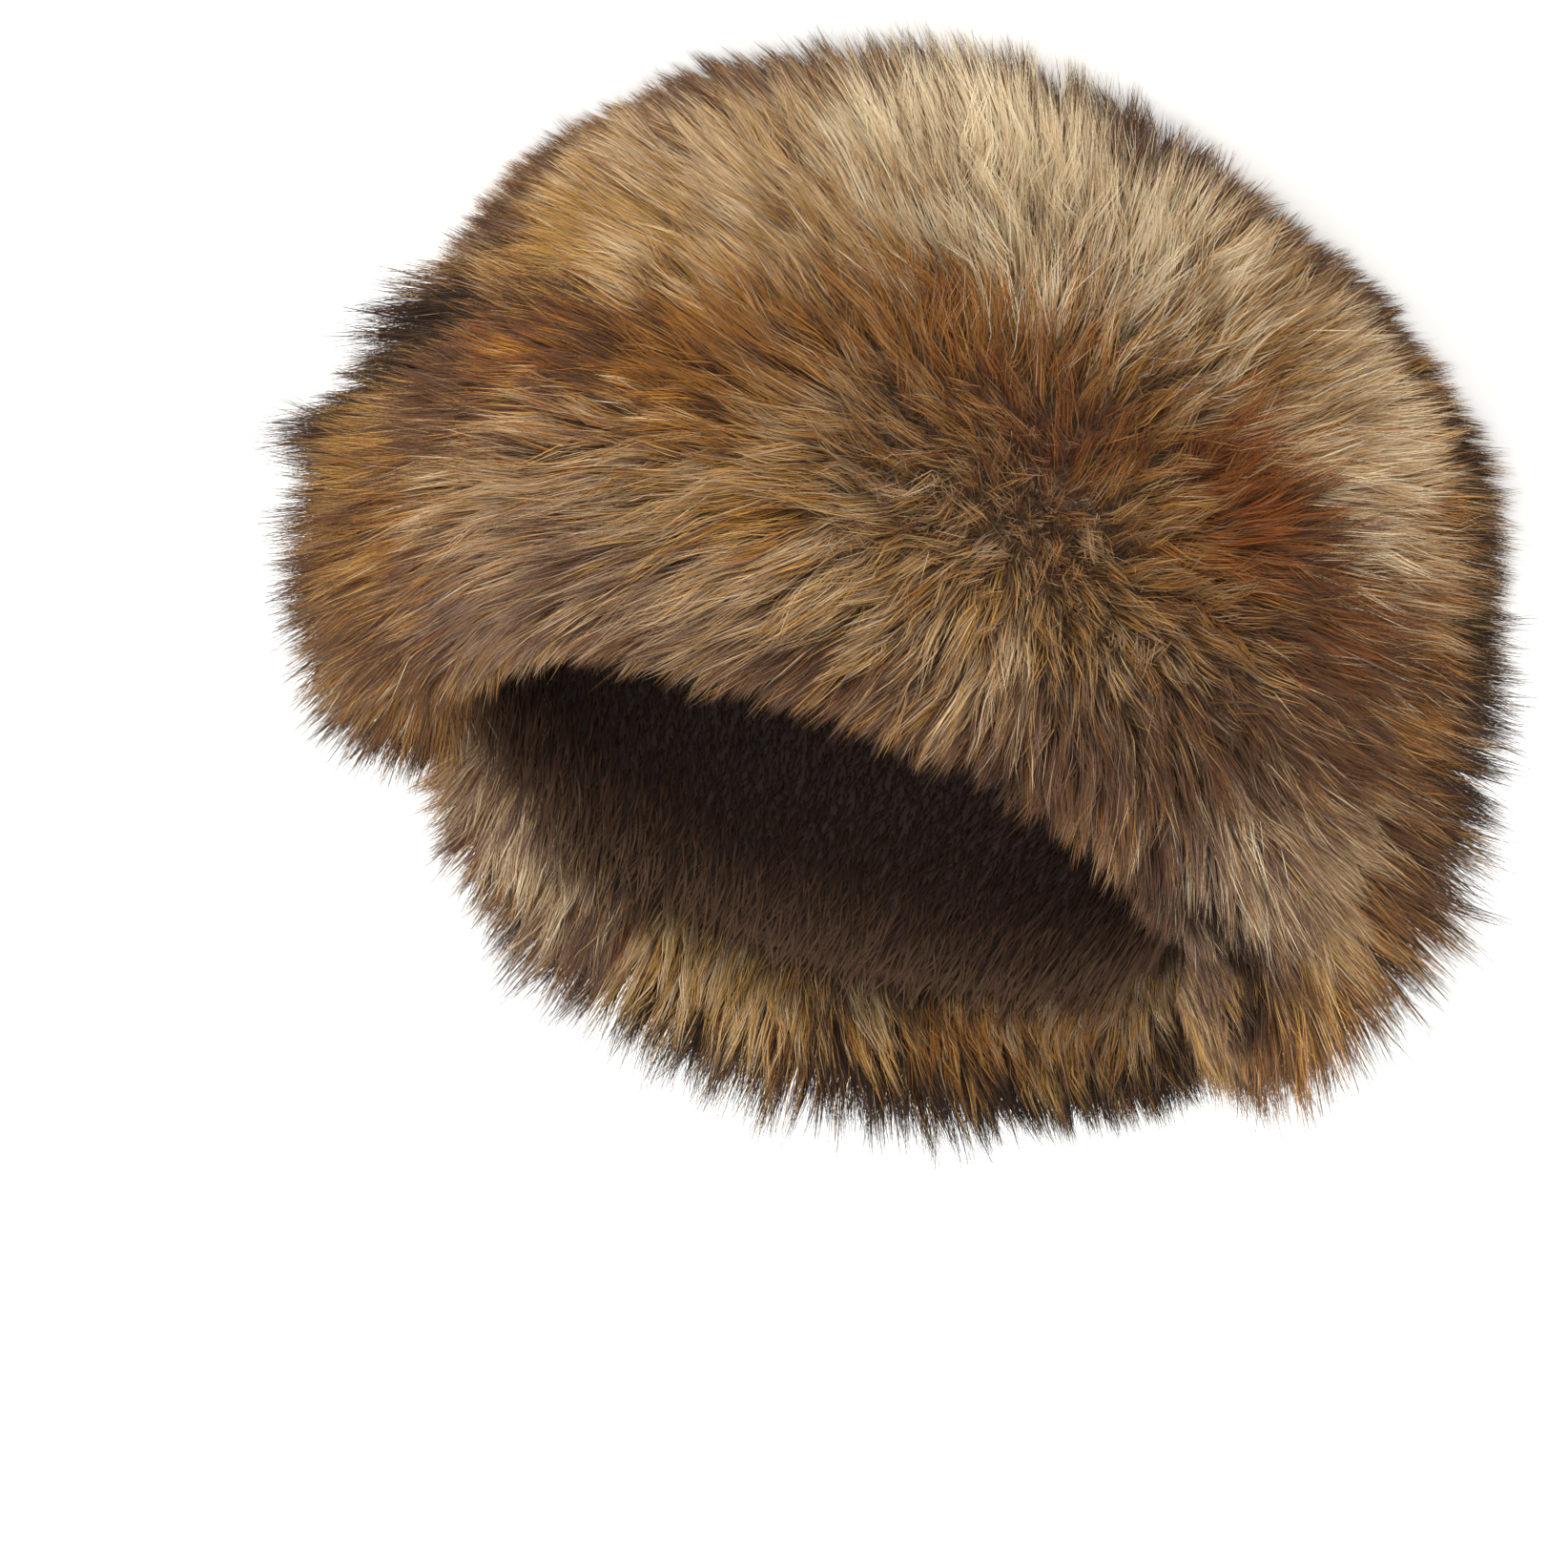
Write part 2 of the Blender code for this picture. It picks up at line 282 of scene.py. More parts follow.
# How much more of a tone there is in places, beside the usual mix. Most rows are the fur's own tones; some
# paint shade into the hairs' colour, and the forehead's cream is partly painted light
TONE_AND_SHADE_MARKS = {
    # The furrow's edge, the fringes of both sides, the lobe's lower border and the outside of the back rim.
    # Along the furrow's edge and the lobe's lower border the soot is painted shade of the furrow and the
    # crease; the fringes' dark tips are the fur's own
    Tone.SOOT: streaks(
        # painted shade along the furrow's edge
        (72, 0.37, 34, 0.45, 0.005, 0.8),
        (78, 0.34, 86, 0.52, 0.014, 4.4),
        (92, 0.52, 106, 0.88, 0.009, 2.0),
        (-36, 0.08, -40, 0.16, 0.008, 2.0),
        (-66, 0.17, -80, 0.42, 0.015, 5.0),
        (-78, 0.42, -87, 0.66, 0.010, 3.0),
        # painted shade: the dark line of the crease under the lobe
        (-53, 0.845, -74, 0.848, 0.0065, 11.0),
        (190, 0.86, 244, 0.85, 0.010, 6.0),
        (150, 0.82, 190, 0.83, 0.010, 4.6),
        (172, 0.88, 206, 0.88, 0.008, 5.0),
    ),
    # Beside the soot, round the whorl, between the lobe and the crease, and along the back rim. In the fold
    # between the lobe and the crease, and on the upper rim towards the opening, the umber is painted shade
    Tone.UMBER: streaks(
        (50, 0.05, -40, 0.04, 0.010, 2.8),
        (-14, 0.34, -24, 0.24, 0.013, 1.2),
        (62, 0.26, 56, 0.14, 0.010, 0.8),
        (80, 0.38, 40, 0.45, 0.009, 0.8),
        (90, 0.50, 106, 0.88, 0.011, 3.0),
        (70, 0.12, 84, 0.30, 0.010, 2.4),
        (66, 0.52, 80, 0.80, 0.016, 2.4),
        (70, 0.52, 60, 0.60, 0.011, 4.4),
        (64, 0.84, 74, 0.88, 0.010, 2.4),
        (62, 0.46, 42, 0.50, 0.010, 5.6),
        (32, 0.52, 14, 0.64, 0.013, 2.0),
        (2, 0.83, -22, 0.82, 0.010, 2.4),
        # painted shade on the upper rim towards the opening
        (34, 0.86, -20, 0.86, 0.010, 4.0),
        (14, 0.46, 0, 0.49, 0.012, 2.0),
        (-42, 0.52, -56, 0.48, 0.014, 9.0),
        (-60, 0.50, -72, 0.58, 0.010, 1.5),
        (-38, 0.72, -56, 0.68, 0.011, 4.6),
        (-72, 0.80, -82, 0.72, 0.012, 3.6),
        (-72, 0.62, -82, 0.66, 0.010, 1.6),
        (-66, 0.82, -82, 0.79, 0.010, 2.6),
        # painted shade in the fold between the lobe and the crease, and on the rim beside the opening
        (-34, 0.74, -48, 0.87, 0.009, 5.0),
        (-22, 0.88, -46, 0.89, 0.008, 4.0),
        (-54, 0.93, -80, 0.95, 0.011, 1.2),
        (-82, 0.94, -96, 0.93, 0.008, 1.4),
        (156, 0.94, 146, 0.93, 0.010, 2.0),
        (190, 0.94, 236, 0.96, 0.009, 0.8),
        (136, 0.84, 196, 0.85, 0.011, 2.2),
        (176, 0.60, 190, 0.62, 0.014, 1.0),
    ),
    # Spots round the whorl, beside the furrow, on the -X side and behind
    Tone.RUST: streaks(
        (62, 0.47, 46, 0.50, 0.008, 3.0),
        (6, 0.44, 4, 0.47, 0.008, 3.5),
        (-5, 0.49, -9, 0.54, 0.009, 5.5),
        (-26, 0.43, -29, 0.49, 0.010, 5.5),
        (-44, 0.52, -50, 0.48, 0.012, 2.4),
        (176, 0.46, 196, 0.50, 0.010, 3.0),
    ),
    # The fringe on the floor, the upper rim in front, the lobe, and the back rim
    Tone.ASH: streaks(
        (44, 0.07, -36, 0.06, 0.013, 3.8),
        (46, 0.28, 22, 0.34, 0.014, 1.2),
        (56, 0.82, 48, 0.86, 0.014, 1.4),
        (40, 0.83, 10, 0.82, 0.011, 2.0),
        (10, 0.85, -24, 0.84, 0.013, 2.0),
        (-46, 0.80, -62, 0.77, 0.015, 4.0),
        (-44, 0.72, -54, 0.71, 0.011, 1.2),
        (-54, 0.93, -80, 0.95, 0.011, 4.0),
        (-96, 0.94, -112, 0.98, 0.008, 2.0),
        (236, 0.97, 256, 0.98, 0.012, 2.4),
        (152, 0.90, 128, 0.92, 0.014, 3.0),
        (150, 0.12, 214, 0.10, 0.012, 1.0),
    ),
    # Round the whorl, beside the furrow, the end of the lobe, and the back rim
    Tone.AMBER: streaks(
        (-14, 0.36, -24, 0.30, 0.014, 1.0),
        (54, 0.50, 24, 0.52, 0.010, 2.2),
        (78, 0.60, 70, 0.70, 0.013, 1.4),
        (32, 0.52, 14, 0.64, 0.013, 3.0),
        (-1, 0.46, -12, 0.49, 0.012, 3.0),
        (16, 0.49, 2, 0.46, 0.012, 3.4),
        (4, 0.62, -12, 0.56, 0.016, 1.6),
        (-14, 0.62, -26, 0.58, 0.014, 1.2),
        (-54, 0.30, -64, 0.50, 0.008, 2.4),
        (-74, 0.67, -80, 0.73, 0.010, 1.6),
        (-68, 0.83, -80, 0.80, 0.008, 1.2),
        (186, 0.93, 240, 0.95, 0.007, 2.4),
        (140, 0.50, 166, 0.54, 0.012, 2.0),
        (212, 0.54, 236, 0.60, 0.013, 2.0),
    ),
    # The forehead, both sides of the furrow, the upper rim, the end of the lobe, and behind
    Tone.GOLD: streaks(
        (26, 0.24, 9, 0.36, 0.016, 1.4),
        (-14, 0.32, -28, 0.22, 0.016, 2.4),
        (50, 0.30, 22, 0.36, 0.014, 2.6),
        (60, 0.38, 42, 0.44, 0.008, 1.2),
        (76, 0.58, 74, 0.76, 0.013, 1.6),
        (14, 0.72, -5, 0.80, 0.018, 2.2),
        (-2, 0.45, -12, 0.45, 0.012, 2.0),
        (8, 0.62, 0, 0.60, 0.012, 1.8),
        (8, 0.62, -20, 0.66, 0.018, 1.2),
        (-70, 0.80, -80, 0.74, 0.012, 1.4),
        (-74, 0.92, -84, 0.92, 0.009, 1.2),
        (-82, 0.94, -96, 0.93, 0.008, 1.2),
        (164, 0.93, 198, 0.96, 0.008, 2.4),
        (226, 0.92, 248, 0.94, 0.008, 1.6),
        (132, 0.36, 158, 0.30, 0.016, 2.2),
        (204, 0.34, 232, 0.40, 0.014, 2.0),
    ),
    # The forehead, the upper rim, round the whorl, the -X side, the lobe, and the back rim
    Tone.TAN: streaks(
        (20, 0.20, 12, 0.30, 0.013, 2.0),
        (42, 0.72, 20, 0.76, 0.016, 1.0),
        (40, 0.84, 14, 0.84, 0.010, 0.9),
        (10, 0.63, -2, 0.67, 0.014, 2.2),
        (14, 0.72, -5, 0.79, 0.018, 2.6),
        (6, 0.60, -8, 0.58, 0.018, 1.8),
        (-6, 0.66, -28, 0.66, 0.018, 0.8),
        (-36, 0.20, -54, 0.40, 0.015, 2.2),
        (-48, 0.76, -60, 0.79, 0.012, 1.4),
        (-62, 0.69, -74, 0.70, 0.010, 2.6),
        (-74, 0.92, -84, 0.92, 0.009, 1.6),
        (-96, 0.90, -112, 0.95, 0.008, 2.4),
        (226, 0.98, 250, 0.99, 0.012, 1.4),
        (160, 0.70, 206, 0.72, 0.016, 1.4),
    ),
    # The forehead, beside the furrow, the -X side, the lobe, and the back rim
    Tone.SAND: streaks(
        (34, 0.35, 15, 0.40, 0.013, 2.0),
        (30, 0.25, -20, 0.17, 0.022, 2.4),
        (-26, 0.38, -34, 0.30, 0.012, 1.8),
        (50, 0.20, 32, 0.27, 0.014, 2.2),
        (8, 0.62, -3, 0.64, 0.012, 1.4),
        (10, 0.74, -4, 0.78, 0.014, 1.6),
        (-36, 0.22, -52, 0.36, 0.015, 2.7),
        (-48, 0.79, -58, 0.78, 0.013, 2.2),
        (-64, 0.70, -72, 0.70, 0.009, 1.6),
        (160, 0.92, 196, 0.95, 0.007, 3.0),
        (146, 0.91, 128, 0.90, 0.013, 2.4),
        (168, 0.22, 196, 0.26, 0.020, 2.4),
    ),
    # Low on the forehead, a spot on the -X side, the lobe, and a little of the back rim. The forehead's cream
    # is partly the fur's own and partly painted light, lighter where light from above falls on the worn band
    Tone.CREAM: streaks(
        # partly painted light: the forehead made lighter as if lit from above
        (7, 0.17, -6, 0.27, 0.020, 17.0),
        (-37, 0.24, -46, 0.36, 0.014, 2.4),
        (-47, 0.79, -56, 0.80, 0.011, 1.6),
        (142, 0.90, 130, 0.90, 0.010, 0.8),
    ),
}


def linear(code: str) -> Colour:
    """Turns an sRGB hex colour into Blender's linear one.

    Args:
        code: The colour, such as "#c8a070".

    Returns:
        Red, green, blue and alpha, with alpha 1.
    """
    parts = (int(code[place : place + 2], 16) / 255 for place in (1, 3, 5))
    red, green, blue = (c / 12.92 if c <= 0.04045 else ((c + 0.055) / 1.055) ** 2.4 for c in parts)
    return red, green, blue, 1.0


def plug(node: bpy.types.Node, **inputs) -> None:
    """Fills sockets of a node.

    Args:
        node: The node.
        inputs: Sockets by name, with underscores for spaces. An output socket is linked, a value is set.
    """
    for name, value in inputs.items():
        socket = node.inputs[int(name[1:]) if name[0] == "_" else name.replace("_", " ")]
        if isinstance(value, bpy.types.NodeSocket):
            node.id_data.links.new(value, socket)
        else:
            socket.default_value = value


def add_node(tree: bpy.types.NodeTree, kind: str, settings: dict | None = None, **inputs) -> bpy.types.Node:
    """Adds a shader node, with its settings and what goes into its sockets.

    Args:
        tree: The material's node tree.
        kind: The node's type, without "ShaderNode".
        settings: Properties of the node, by name.
        inputs: What goes into its sockets, as plug has it.

    Returns:
        The new node.
    """
    node = tree.nodes.new("ShaderNode" + kind)
    for name, value in (settings or {}).items():
        setattr(node, name, value)
    plug(node, **inputs)
    return node


def new_material(name: str) -> tuple[bpy.types.Material, bpy.types.Node]:
    """Makes a material that holds only a Principled shader and the output.

    Args:
        name: What the material is.

    Returns:
        The material and its shader node.
    """
    material = bpy.data.materials.new(name)
    material.use_nodes = True
    return material, material.node_tree.nodes["Principled BSDF"]


def set_stops(ramp: bpy.types.ColorRamp, stops: Stops) -> None:
    """Gives a colour ramp its stops."""
    while len(ramp.elements) > 1:
        ramp.elements.remove(ramp.elements[-1])
    ramp.elements[0].position, ramp.elements[0].color = stops[0]
    for place, colour in stops[1:]:
        ramp.elements.new(place).color = colour


def pile_colour(
    tree: bpy.types.NodeTree, stops: Stops, root: tuple[float, float], fade: str
) -> tuple[bpy.types.NodeSocket, bpy.types.NodeSocket]:
    """Colours hairs by their UV map: the dye lies across it, and the shade at the root along it.

    Args:
        tree: The material's node tree.
        stops: The dye's colours, by their place across the map.
        root: How bright the hair is at its root, and the place along the map where that shade ends.
        fade: How the shade fades, a colour ramp's interpolation.

    Returns:
        The sockets of the colour and of the place along the map.
    """
    place = add_node(tree, "UVMap", {"uv_map": BAKE_MAP})
    split = add_node(tree, "SeparateXYZ", Vector=place.outputs["UV"])
    dye = add_node(tree, "ValToRGB", Fac=split.outputs["X"])
    set_stops(dye.color_ramp, stops)
    shade = add_node(tree, "ValToRGB", Fac=split.outputs["Y"])
    shade.color_ramp.interpolation = fade
    dark, ends = root
    set_stops(shade.color_ramp, [(0.0, (dark, dark, dark, 1.0)), (ends, (1.0, 1.0, 1.0, 1.0))])
    shaded = add_node(
        tree,
        "Mix",
        {"data_type": "RGBA", "blend_type": "MULTIPLY"},
        _0=1.0,
        _6=dye.outputs["Color"],
        _7=shade.outputs["Color"],
    )
    return shaded.outputs[2], split.outputs["Y"]


@dataclass(frozen=True)
class FauxFur:
    """Modacrylic pile, dyed in bands before it is cut.

    It gives the eye soft matt hairs of many browns, dark at the root where little light gets in, and mostly
    with darker tips.
    """

    soot: str = "#33251c"
    umber: str = "#604430"
    rust: str = "#90501c"
    ash: str = "#7c6759"
    amber: str = "#a66d2c"
    gold: str = "#ba8f49"
    tan: str = "#ad9170"
    sand: str = "#cdb088"
    cream: str = "#e8d8b8"
    dipped: str = "#30221a"
    root_shade: float = 0.10
    root_ends: float = 0.34  # share of the map's height at which a hair is out of the shade at its root
    dip_starts: float = 0.60  # and at which the darker tip starts
    dip_strength: float = 0.88
    roughness: float = 0.7
    specular: float = 0.15
    sheen: float = 0.04
    sheen_roughness: float = 0.5

    def make(self) -> bpy.types.Material:
        """Makes the material of the hairs, whose colour depends on their UV map alone."""
        material, shader = new_material("faux_fur_pile")
        tree = material.node_tree
        stops = [(tone.value, linear(getattr(self, tone.name.lower()))) for tone in Tone]
        shaded, along = pile_colour(tree, stops, (self.root_shade, self.root_ends), "EASE")
        dip = add_node(
            tree,
            "MapRange",
            {"interpolation_type": "SMOOTHSTEP"},
            Value=along,
            From_Min=self.dip_starts,
            From_Max=1.0,
            To_Min=0.0,
            To_Max=self.dip_strength,
        )
        tipped = add_node(
            tree,
            "Mix",
            {"data_type": "RGBA", "blend_type": "MIX"},
            _0=dip.outputs["Result"],
            _6=shaded,
            _7=linear(self.dipped),
        )
        plug(shader, Base_Color=tipped.outputs[2], Roughness=self.roughness, Specular_IOR_Level=self.specular)
        plug(shader, Sheen_Weight=self.sheen, Sheen_Roughness=self.sheen_roughness)
        return material


@dataclass(frozen=True)
class PileBacking:
    """Knitted backing with dense short underfur.

    It gives the eye a dark, matt, streaky brown between the roots of the long hairs.
    """

    dark: str = "#2c1f16"
    light: str = "#6a4c31"
    streak: float = 0.0012  # width of a streak
    dark_up_to: float = 0.36  # values of the noise between which the dark turns to the light
    light_from: float = 0.66
    bump: float = 0.5
    roughness: float = 0.95

    def make(self) -> bpy.types.Material:
        """Makes the material of the padded bodies under the hairs."""
        material, shader = new_material("knitted_backing_with_underfur")
        tree = material.node_tree
        place = add_node(tree, "TexCoord").outputs["Object"]
        fibres = add_node(tree, "TexNoise", Vector=place, Scale=1 / self.streak, Detail=2.0, Roughness=0.6)
        mixed = add_node(tree, "ValToRGB", Fac=fibres.outputs["Fac"])
        stops = [(self.dark_up_to, linear(self.dark)), (self.light_from, linear(self.light))]
        set_stops(mixed.color_ramp, stops)
        bump = add_node(tree, "Bump", Strength=self.bump, Distance=self.streak, Height=fibres.outputs["Fac"])
        plug(shader, Base_Color=mixed.outputs["Color"], Normal=bump.outputs["Normal"])
        plug(shader, Roughness=self.roughness)
        return material


@dataclass(frozen=True)
class PlushLining:
    """Knitted polyester velboa with a short brushed nap.

    It gives the eye a very dark, matt brown with a faint soft sheen and brushed marks.
    """

    deep: str = "#241814"
    worn: str = "#33241e"
    nap: float = 0.0016  # width of a tuft of the nap
    brush: float = 0.018  # width of a brushed mark
    deep_up_to: float = 0.80  # values of both noises together between which the nap turns paler
    worn_from: float = 1.0
    bump: float = 0.6
    roughness: float = 0.95
    sheen: float = 0.03
    sheen_roughness: float = 0.6

    def make(self) -> bpy.types.Material:
        """Makes the material of the lining cloth."""
        material, shader = new_material("short_pile_velboa")
        tree = material.node_tree
        place = add_node(tree, "TexCoord").outputs["Object"]
        brushed = add_node(tree, "TexNoise", Vector=place, Scale=1 / self.brush, Detail=3.0, Roughness=0.55)
        tufts = add_node(tree, "TexNoise", Vector=place, Scale=1 / self.nap, Detail=2.0, Roughness=0.7)
        both = add_node(
            tree, "Math", {"operation": "ADD"}, _0=brushed.outputs["Fac"], _1=tufts.outputs["Fac"]
        )
        mixed = add_node(tree, "ValToRGB", Fac=both.outputs["Value"])
        stops = [(self.deep_up_to, linear(self.deep)), (self.worn_from, linear(self.worn))]
        set_stops(mixed.color_ramp, stops)
        bump = add_node(tree, "Bump", Strength=self.bump, Distance=self.nap, Height=tufts.outputs["Fac"])
        plug(shader, Base_Color=mixed.outputs["Color"], Normal=bump.outputs["Normal"])
        plug(
            shader, Roughness=self.roughness, Sheen_Weight=self.sheen, Sheen_Roughness=self.sheen_roughness
        )
        return material


@dataclass(frozen=True)
class PlushNap:
    """The nap of the lining, as short single hairs.

    It gives the eye near-black matt hairs deep in the opening that turn to the fur's own brown at its edge:
    the darkness is painted shade, darker the deeper the nap lies in the opening.
    """

    # painted shade of the opening: near-black deep inside, paler towards the edge where it meets the fur's
    # own brown
    deep: str = "#2c1c17"
    middle: str = "#35241b"
    edge: str = "#604838"
    edge_starts: float = 0.80  # share of the opening's height from which it turns paler
    root_shade: float = 0.45
    root_ends: float = 0.7  # share of a hair's length at which it is out of the shade
    roughness: float = 0.9
    specular: float = 0.1

    def make(self) -> bpy.types.Material:
        """Makes the material of the nap, whose UV map has the height across it and the hair along it."""
        material, shader = new_material("velboa_nap")
        tree = material.node_tree
        stops = [(0.0, linear(self.deep)), (self.edge_starts, linear(self.middle)), (1.0, linear(self.edge))]
        colour, _ = pile_colour(tree, stops, (self.root_shade, self.root_ends), "LINEAR")
        plug(shader, Base_Color=colour, Roughness=self.roughness, Specular_IOR_Level=self.specular)
        return material


@dataclass(frozen=True)
class LightTable:
    """Opal acrylic lit from below, which gives the eye an even white ground with hardly a shadow."""

    shade: str = "#fbfbfa"
    glow: float = 0.35
    grains: float = 900.0  # in a metre
    relief: float = 0.0005  # depth of the grain
    bump: float = 0.03
    roughness: float = 0.9

    def make(self) -> bpy.types.Material:
        """Makes the material of the floor."""
        material, shader = new_material("lit_opal_acrylic")
        tree = material.node_tree
        place = add_node(tree, "TexCoord").outputs["Object"]
        grain = add_node(tree, "TexNoise", Vector=place, Scale=self.grains, Detail=2.0)
        bump = add_node(tree, "Bump", Strength=self.bump, Distance=self.relief, Height=grain.outputs["Fac"])
        shade = linear(self.shade)
        plug(shader, Base_Color=shade, Normal=bump.outputs["Normal"], Roughness=self.roughness)
        plug(shader, Emission_Color=shade, Emission_Strength=self.glow)
        return material


def deselect_all() -> None:
    """Leaves edit mode if need be, and deselects every object, the construction's among them."""
    if bpy.context.object is not None and bpy.context.object.mode != "OBJECT":
        bpy.ops.object.mode_set(mode="OBJECT")
    for thing in bpy.context.view_layer.objects:
        thing.select_set(False)


def positions(piece: bpy.types.Object) -> np.ndarray:
    """Reads the places of a piece's vertices, one row each."""
    places = np.empty(len(piece.data.vertices) * 3, np.float32)
    piece.data.vertices.foreach_get("co", places)
    return places.reshape(-1, 3).astype(float)


def move_to(piece: bpy.types.Object, places: np.ndarray) -> None:
    """Puts a piece's vertices at new places, one row each."""
    piece.data.vertices.foreach_set("co", places.astype(np.float32).ravel())
    piece.data.update()


def wrapped(angle: np.ndarray) -> np.ndarray:
    """Brings angles between -180 and 180 degrees."""
    return (angle + 180) % 360 - 180


def scatter(draw: np.random.Generator, columns: int, rows: int) -> tuple[np.ndarray, np.ndarray]:
    """Draws one place in each cell of a grid.

    Args:
        draw: Where the random values come from.
        columns: How many cells there are across.
        rows: And upwards.

    Returns:
        The places' shares of the way across, and upwards.
    """
    row, column = np.mgrid[0:rows, 0:columns]
    across = ((column + draw.uniform(0, 1, column.shape)) / columns).ravel()
    return across, ((row + draw.uniform(0, 1, row.shape)) / rows).ravel()


def smooth_noise(across: np.ndarray, up: np.ndarray, size: tuple[int, int], seed: int) -> np.ndarray:
    """Smooth random values on the unrolled band, which join up where it closes.

    Args:
        across: Places round the band, from 0 to 1.
        up: Places along its section, from 0 to 1.
        size: How many random values there are round it and along its section.
        seed: Which noise it is.

    Returns:
        A value from -1 to 1 for each place.
    """
    columns, rows = size
    grid = np.random.default_rng(seed).uniform(-1, 1, (rows + 2, columns))
    x, y = across * columns, np.clip(up, 0, 1) * rows
    column, row = np.floor(x).astype(int), np.floor(y).astype(int)
    ease_x, ease_y = ((part * part * (3 - 2 * part)) for part in (x - column, y - row))
    left, right = column % columns, (column + 1) % columns
    low = grid[row, left] * (1 - ease_x) + grid[row, right] * ease_x
    high = grid[row + 1, left] * (1 - ease_x) + grid[row + 1, right] * ease_x
    return low * (1 - ease_y) + high * ease_y


@dataclass(frozen=True)
class BandForm:
    """The padded band that the fur grows on, with the construction's own sizes."""

    half_width: float  # to where the padding starts, outside the lining
    half_length: float
    pad_height: float = 0.146
    pad_depth: float = 0.032
    left_crease: float = 119.0
    right_crease: float = -104.0
    crease_depth: float = 0.40
    crease_drop: float = 0.14
    crease_width: float = 9.0
    lock_length: float = 0.030
    furrow_start: tuple[float, float] = (30.0, 0.70)
    furrow_end: tuple[float, float] = (96.0, 0.42)
    furrow_width: float = 0.075
    furrow_depth: float = 0.42
    furrow_fade: float = 5.0  # how many times in the furrow's length it would fade, past its ends
    setback: float = 0.20
    setback_fade: float = 22.0

    @classmethod
    def round_the_lining(cls, seat_gap: float = 0.0004) -> "BandForm":
        """Makes the form from the lining's own box, with the padding a gap outside it."""
        low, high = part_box("lining")
        return cls(half_width=(high.x - low.x) / 2 + seat_gap, half_length=(high.y - low.y) / 2 + seat_gap)

    @property
    def girth(self) -> float:
        """Length of the band along the middle of its padding."""
        return math.pi * (self.half_width + self.half_length + self.pad_depth)

    @property
    def section(self) -> float:
        """Length of the padding's section, from the floor over the top to the lining."""
        return float(self._stations()[-1])

    def _stations(self) -> np.ndarray:
        """How far along the section each ring is, in metres."""
        heights = np.array([ring.height for ring in RINGS]) * self.pad_height
        depths = np.array([ring.depth for ring in RINGS]) * self.pad_depth
        return np.concatenate([[0.0], np.cumsum(np.hypot(np.diff(heights), np.diff(depths)))])

    def along_section(self, what: str, station: np.ndarray) -> np.ndarray:
        """Reads one of the rings' values at places along the section.

        Args:
            what: The value's name: height, depth, rise or length.
            station: Places from 0 at the floor to 1 at the lining.

        Returns:
            The value at each place.
        """
        stations = self._stations()
        return np.interp(station, stations / stations[-1], [getattr(ring, what) for ring in RINGS])

    def swell(self, angle: np.ndarray) -> tuple[np.ndarray, np.ndarray]:
        """Gives the shares of the height and of the reach at angles, eased between the rows of SWELLS."""
        angles = np.array([row.angle for row in SWELLS], float)
        low = np.clip(np.searchsorted(angles, angle, side="right") - 1, 0, len(angles) - 2)
        eased = (1 - np.cos(np.pi * (angle - angles[low]) / (angles[low + 1] - angles[low]))) / 2
        heights = np.array([row.height for row in SWELLS])
        reaches = np.array([row.reach for row in SWELLS])
        return (
            heights[low] + (heights[low + 1] - heights[low]) * eased,
            reaches[low] + (reaches[low + 1] - reaches[low]) * eased,
        )

    def crease(self, angle: np.ndarray) -> np.ndarray:
        """How much of a crease an angle has, from 0 to 1 in its middle."""
        offs = (wrapped(angle - middle) for middle in (self.left_crease, self.right_crease))
        return np.max([np.exp(-((off / self.crease_width) ** 2)) for off in offs], axis=0)

    def _furrow_line(self, angle: np.ndarray) -> np.ndarray:
        """Height of the furrow's middle at an angle, as a share of the padding's."""
        (start, low), (end, high) = self.furrow_start, self.furrow_end
        return low + (high - low) * (angle - start) / (end - start)

    def furrow(self, angle: np.ndarray, height: np.ndarray) -> np.ndarray:
        """How deep in the furrow a place lies, from 0 to 1 in its middle."""
        start, end = self.furrow_start[0], self.furrow_end[0]
        along = (angle - start) / (end - start)
        fade = np.clip(1 - self.furrow_fade * np.maximum(np.maximum(-along, along - 1), 0), 0, 1)
        off = (height - self._furrow_line(angle)) / self.furrow_width
        return fade * np.exp(-off * off)

    def kept_reach(self, angle: np.ndarray, height: np.ndarray) -> np.ndarray:
        """The share of the reach that is left at a place: less below the furrow."""
        start, end = self.furrow_start[0], self.furrow_end[0]
        outside = np.maximum(np.maximum(start - angle, angle - end), 0) / self.setback_fade
        below = np.clip((self._furrow_line(angle) - height) / self.furrow_width, 0, 1)
        return 1 - self.setback * below * np.clip(1 - outside, 0, 1)

    def ways(self, angle: np.ndarray) -> tuple[np.ndarray, np.ndarray]:
        """The level directions out of the band and along it, at angles."""
        turn = np.radians(angle)
        sine, cosine, zero = np.sin(turn), np.cos(turn), np.zeros_like(turn)
        return np.stack([sine, -cosine, zero], -1), np.stack([cosine, sine, zero], -1)

    def point(self, angle: np.ndarray, station: np.ndarray, proud: float = 0.0) -> np.ndarray:
        """Places on the padding.

        Args:
            angle: Angles round the band.
            station: Places along its section, from 0 to 1.
            proud: How far outside the padding they are.

        Returns:
            One row of three coordinates for each place.
        """
        height_share = self.along_section("height", station)
        height, reach = self.swell(angle)
        crease = self.crease(angle)
        depth = self.pad_depth * reach * (1 - self.crease_depth * crease)
        depth = depth * self.kept_reach(angle, height_share) * self.along_section("depth", station)
        out, _ = self.ways(angle)
        level = self.pad_height * height * (1 - self.crease_drop * crease) * height_share
        return np.stack(
            [
                out[:, 0] * (self.half_width + depth + proud),
                out[:, 1] * (self.half_length + depth + proud),
                level,
            ],
            -1,
        )

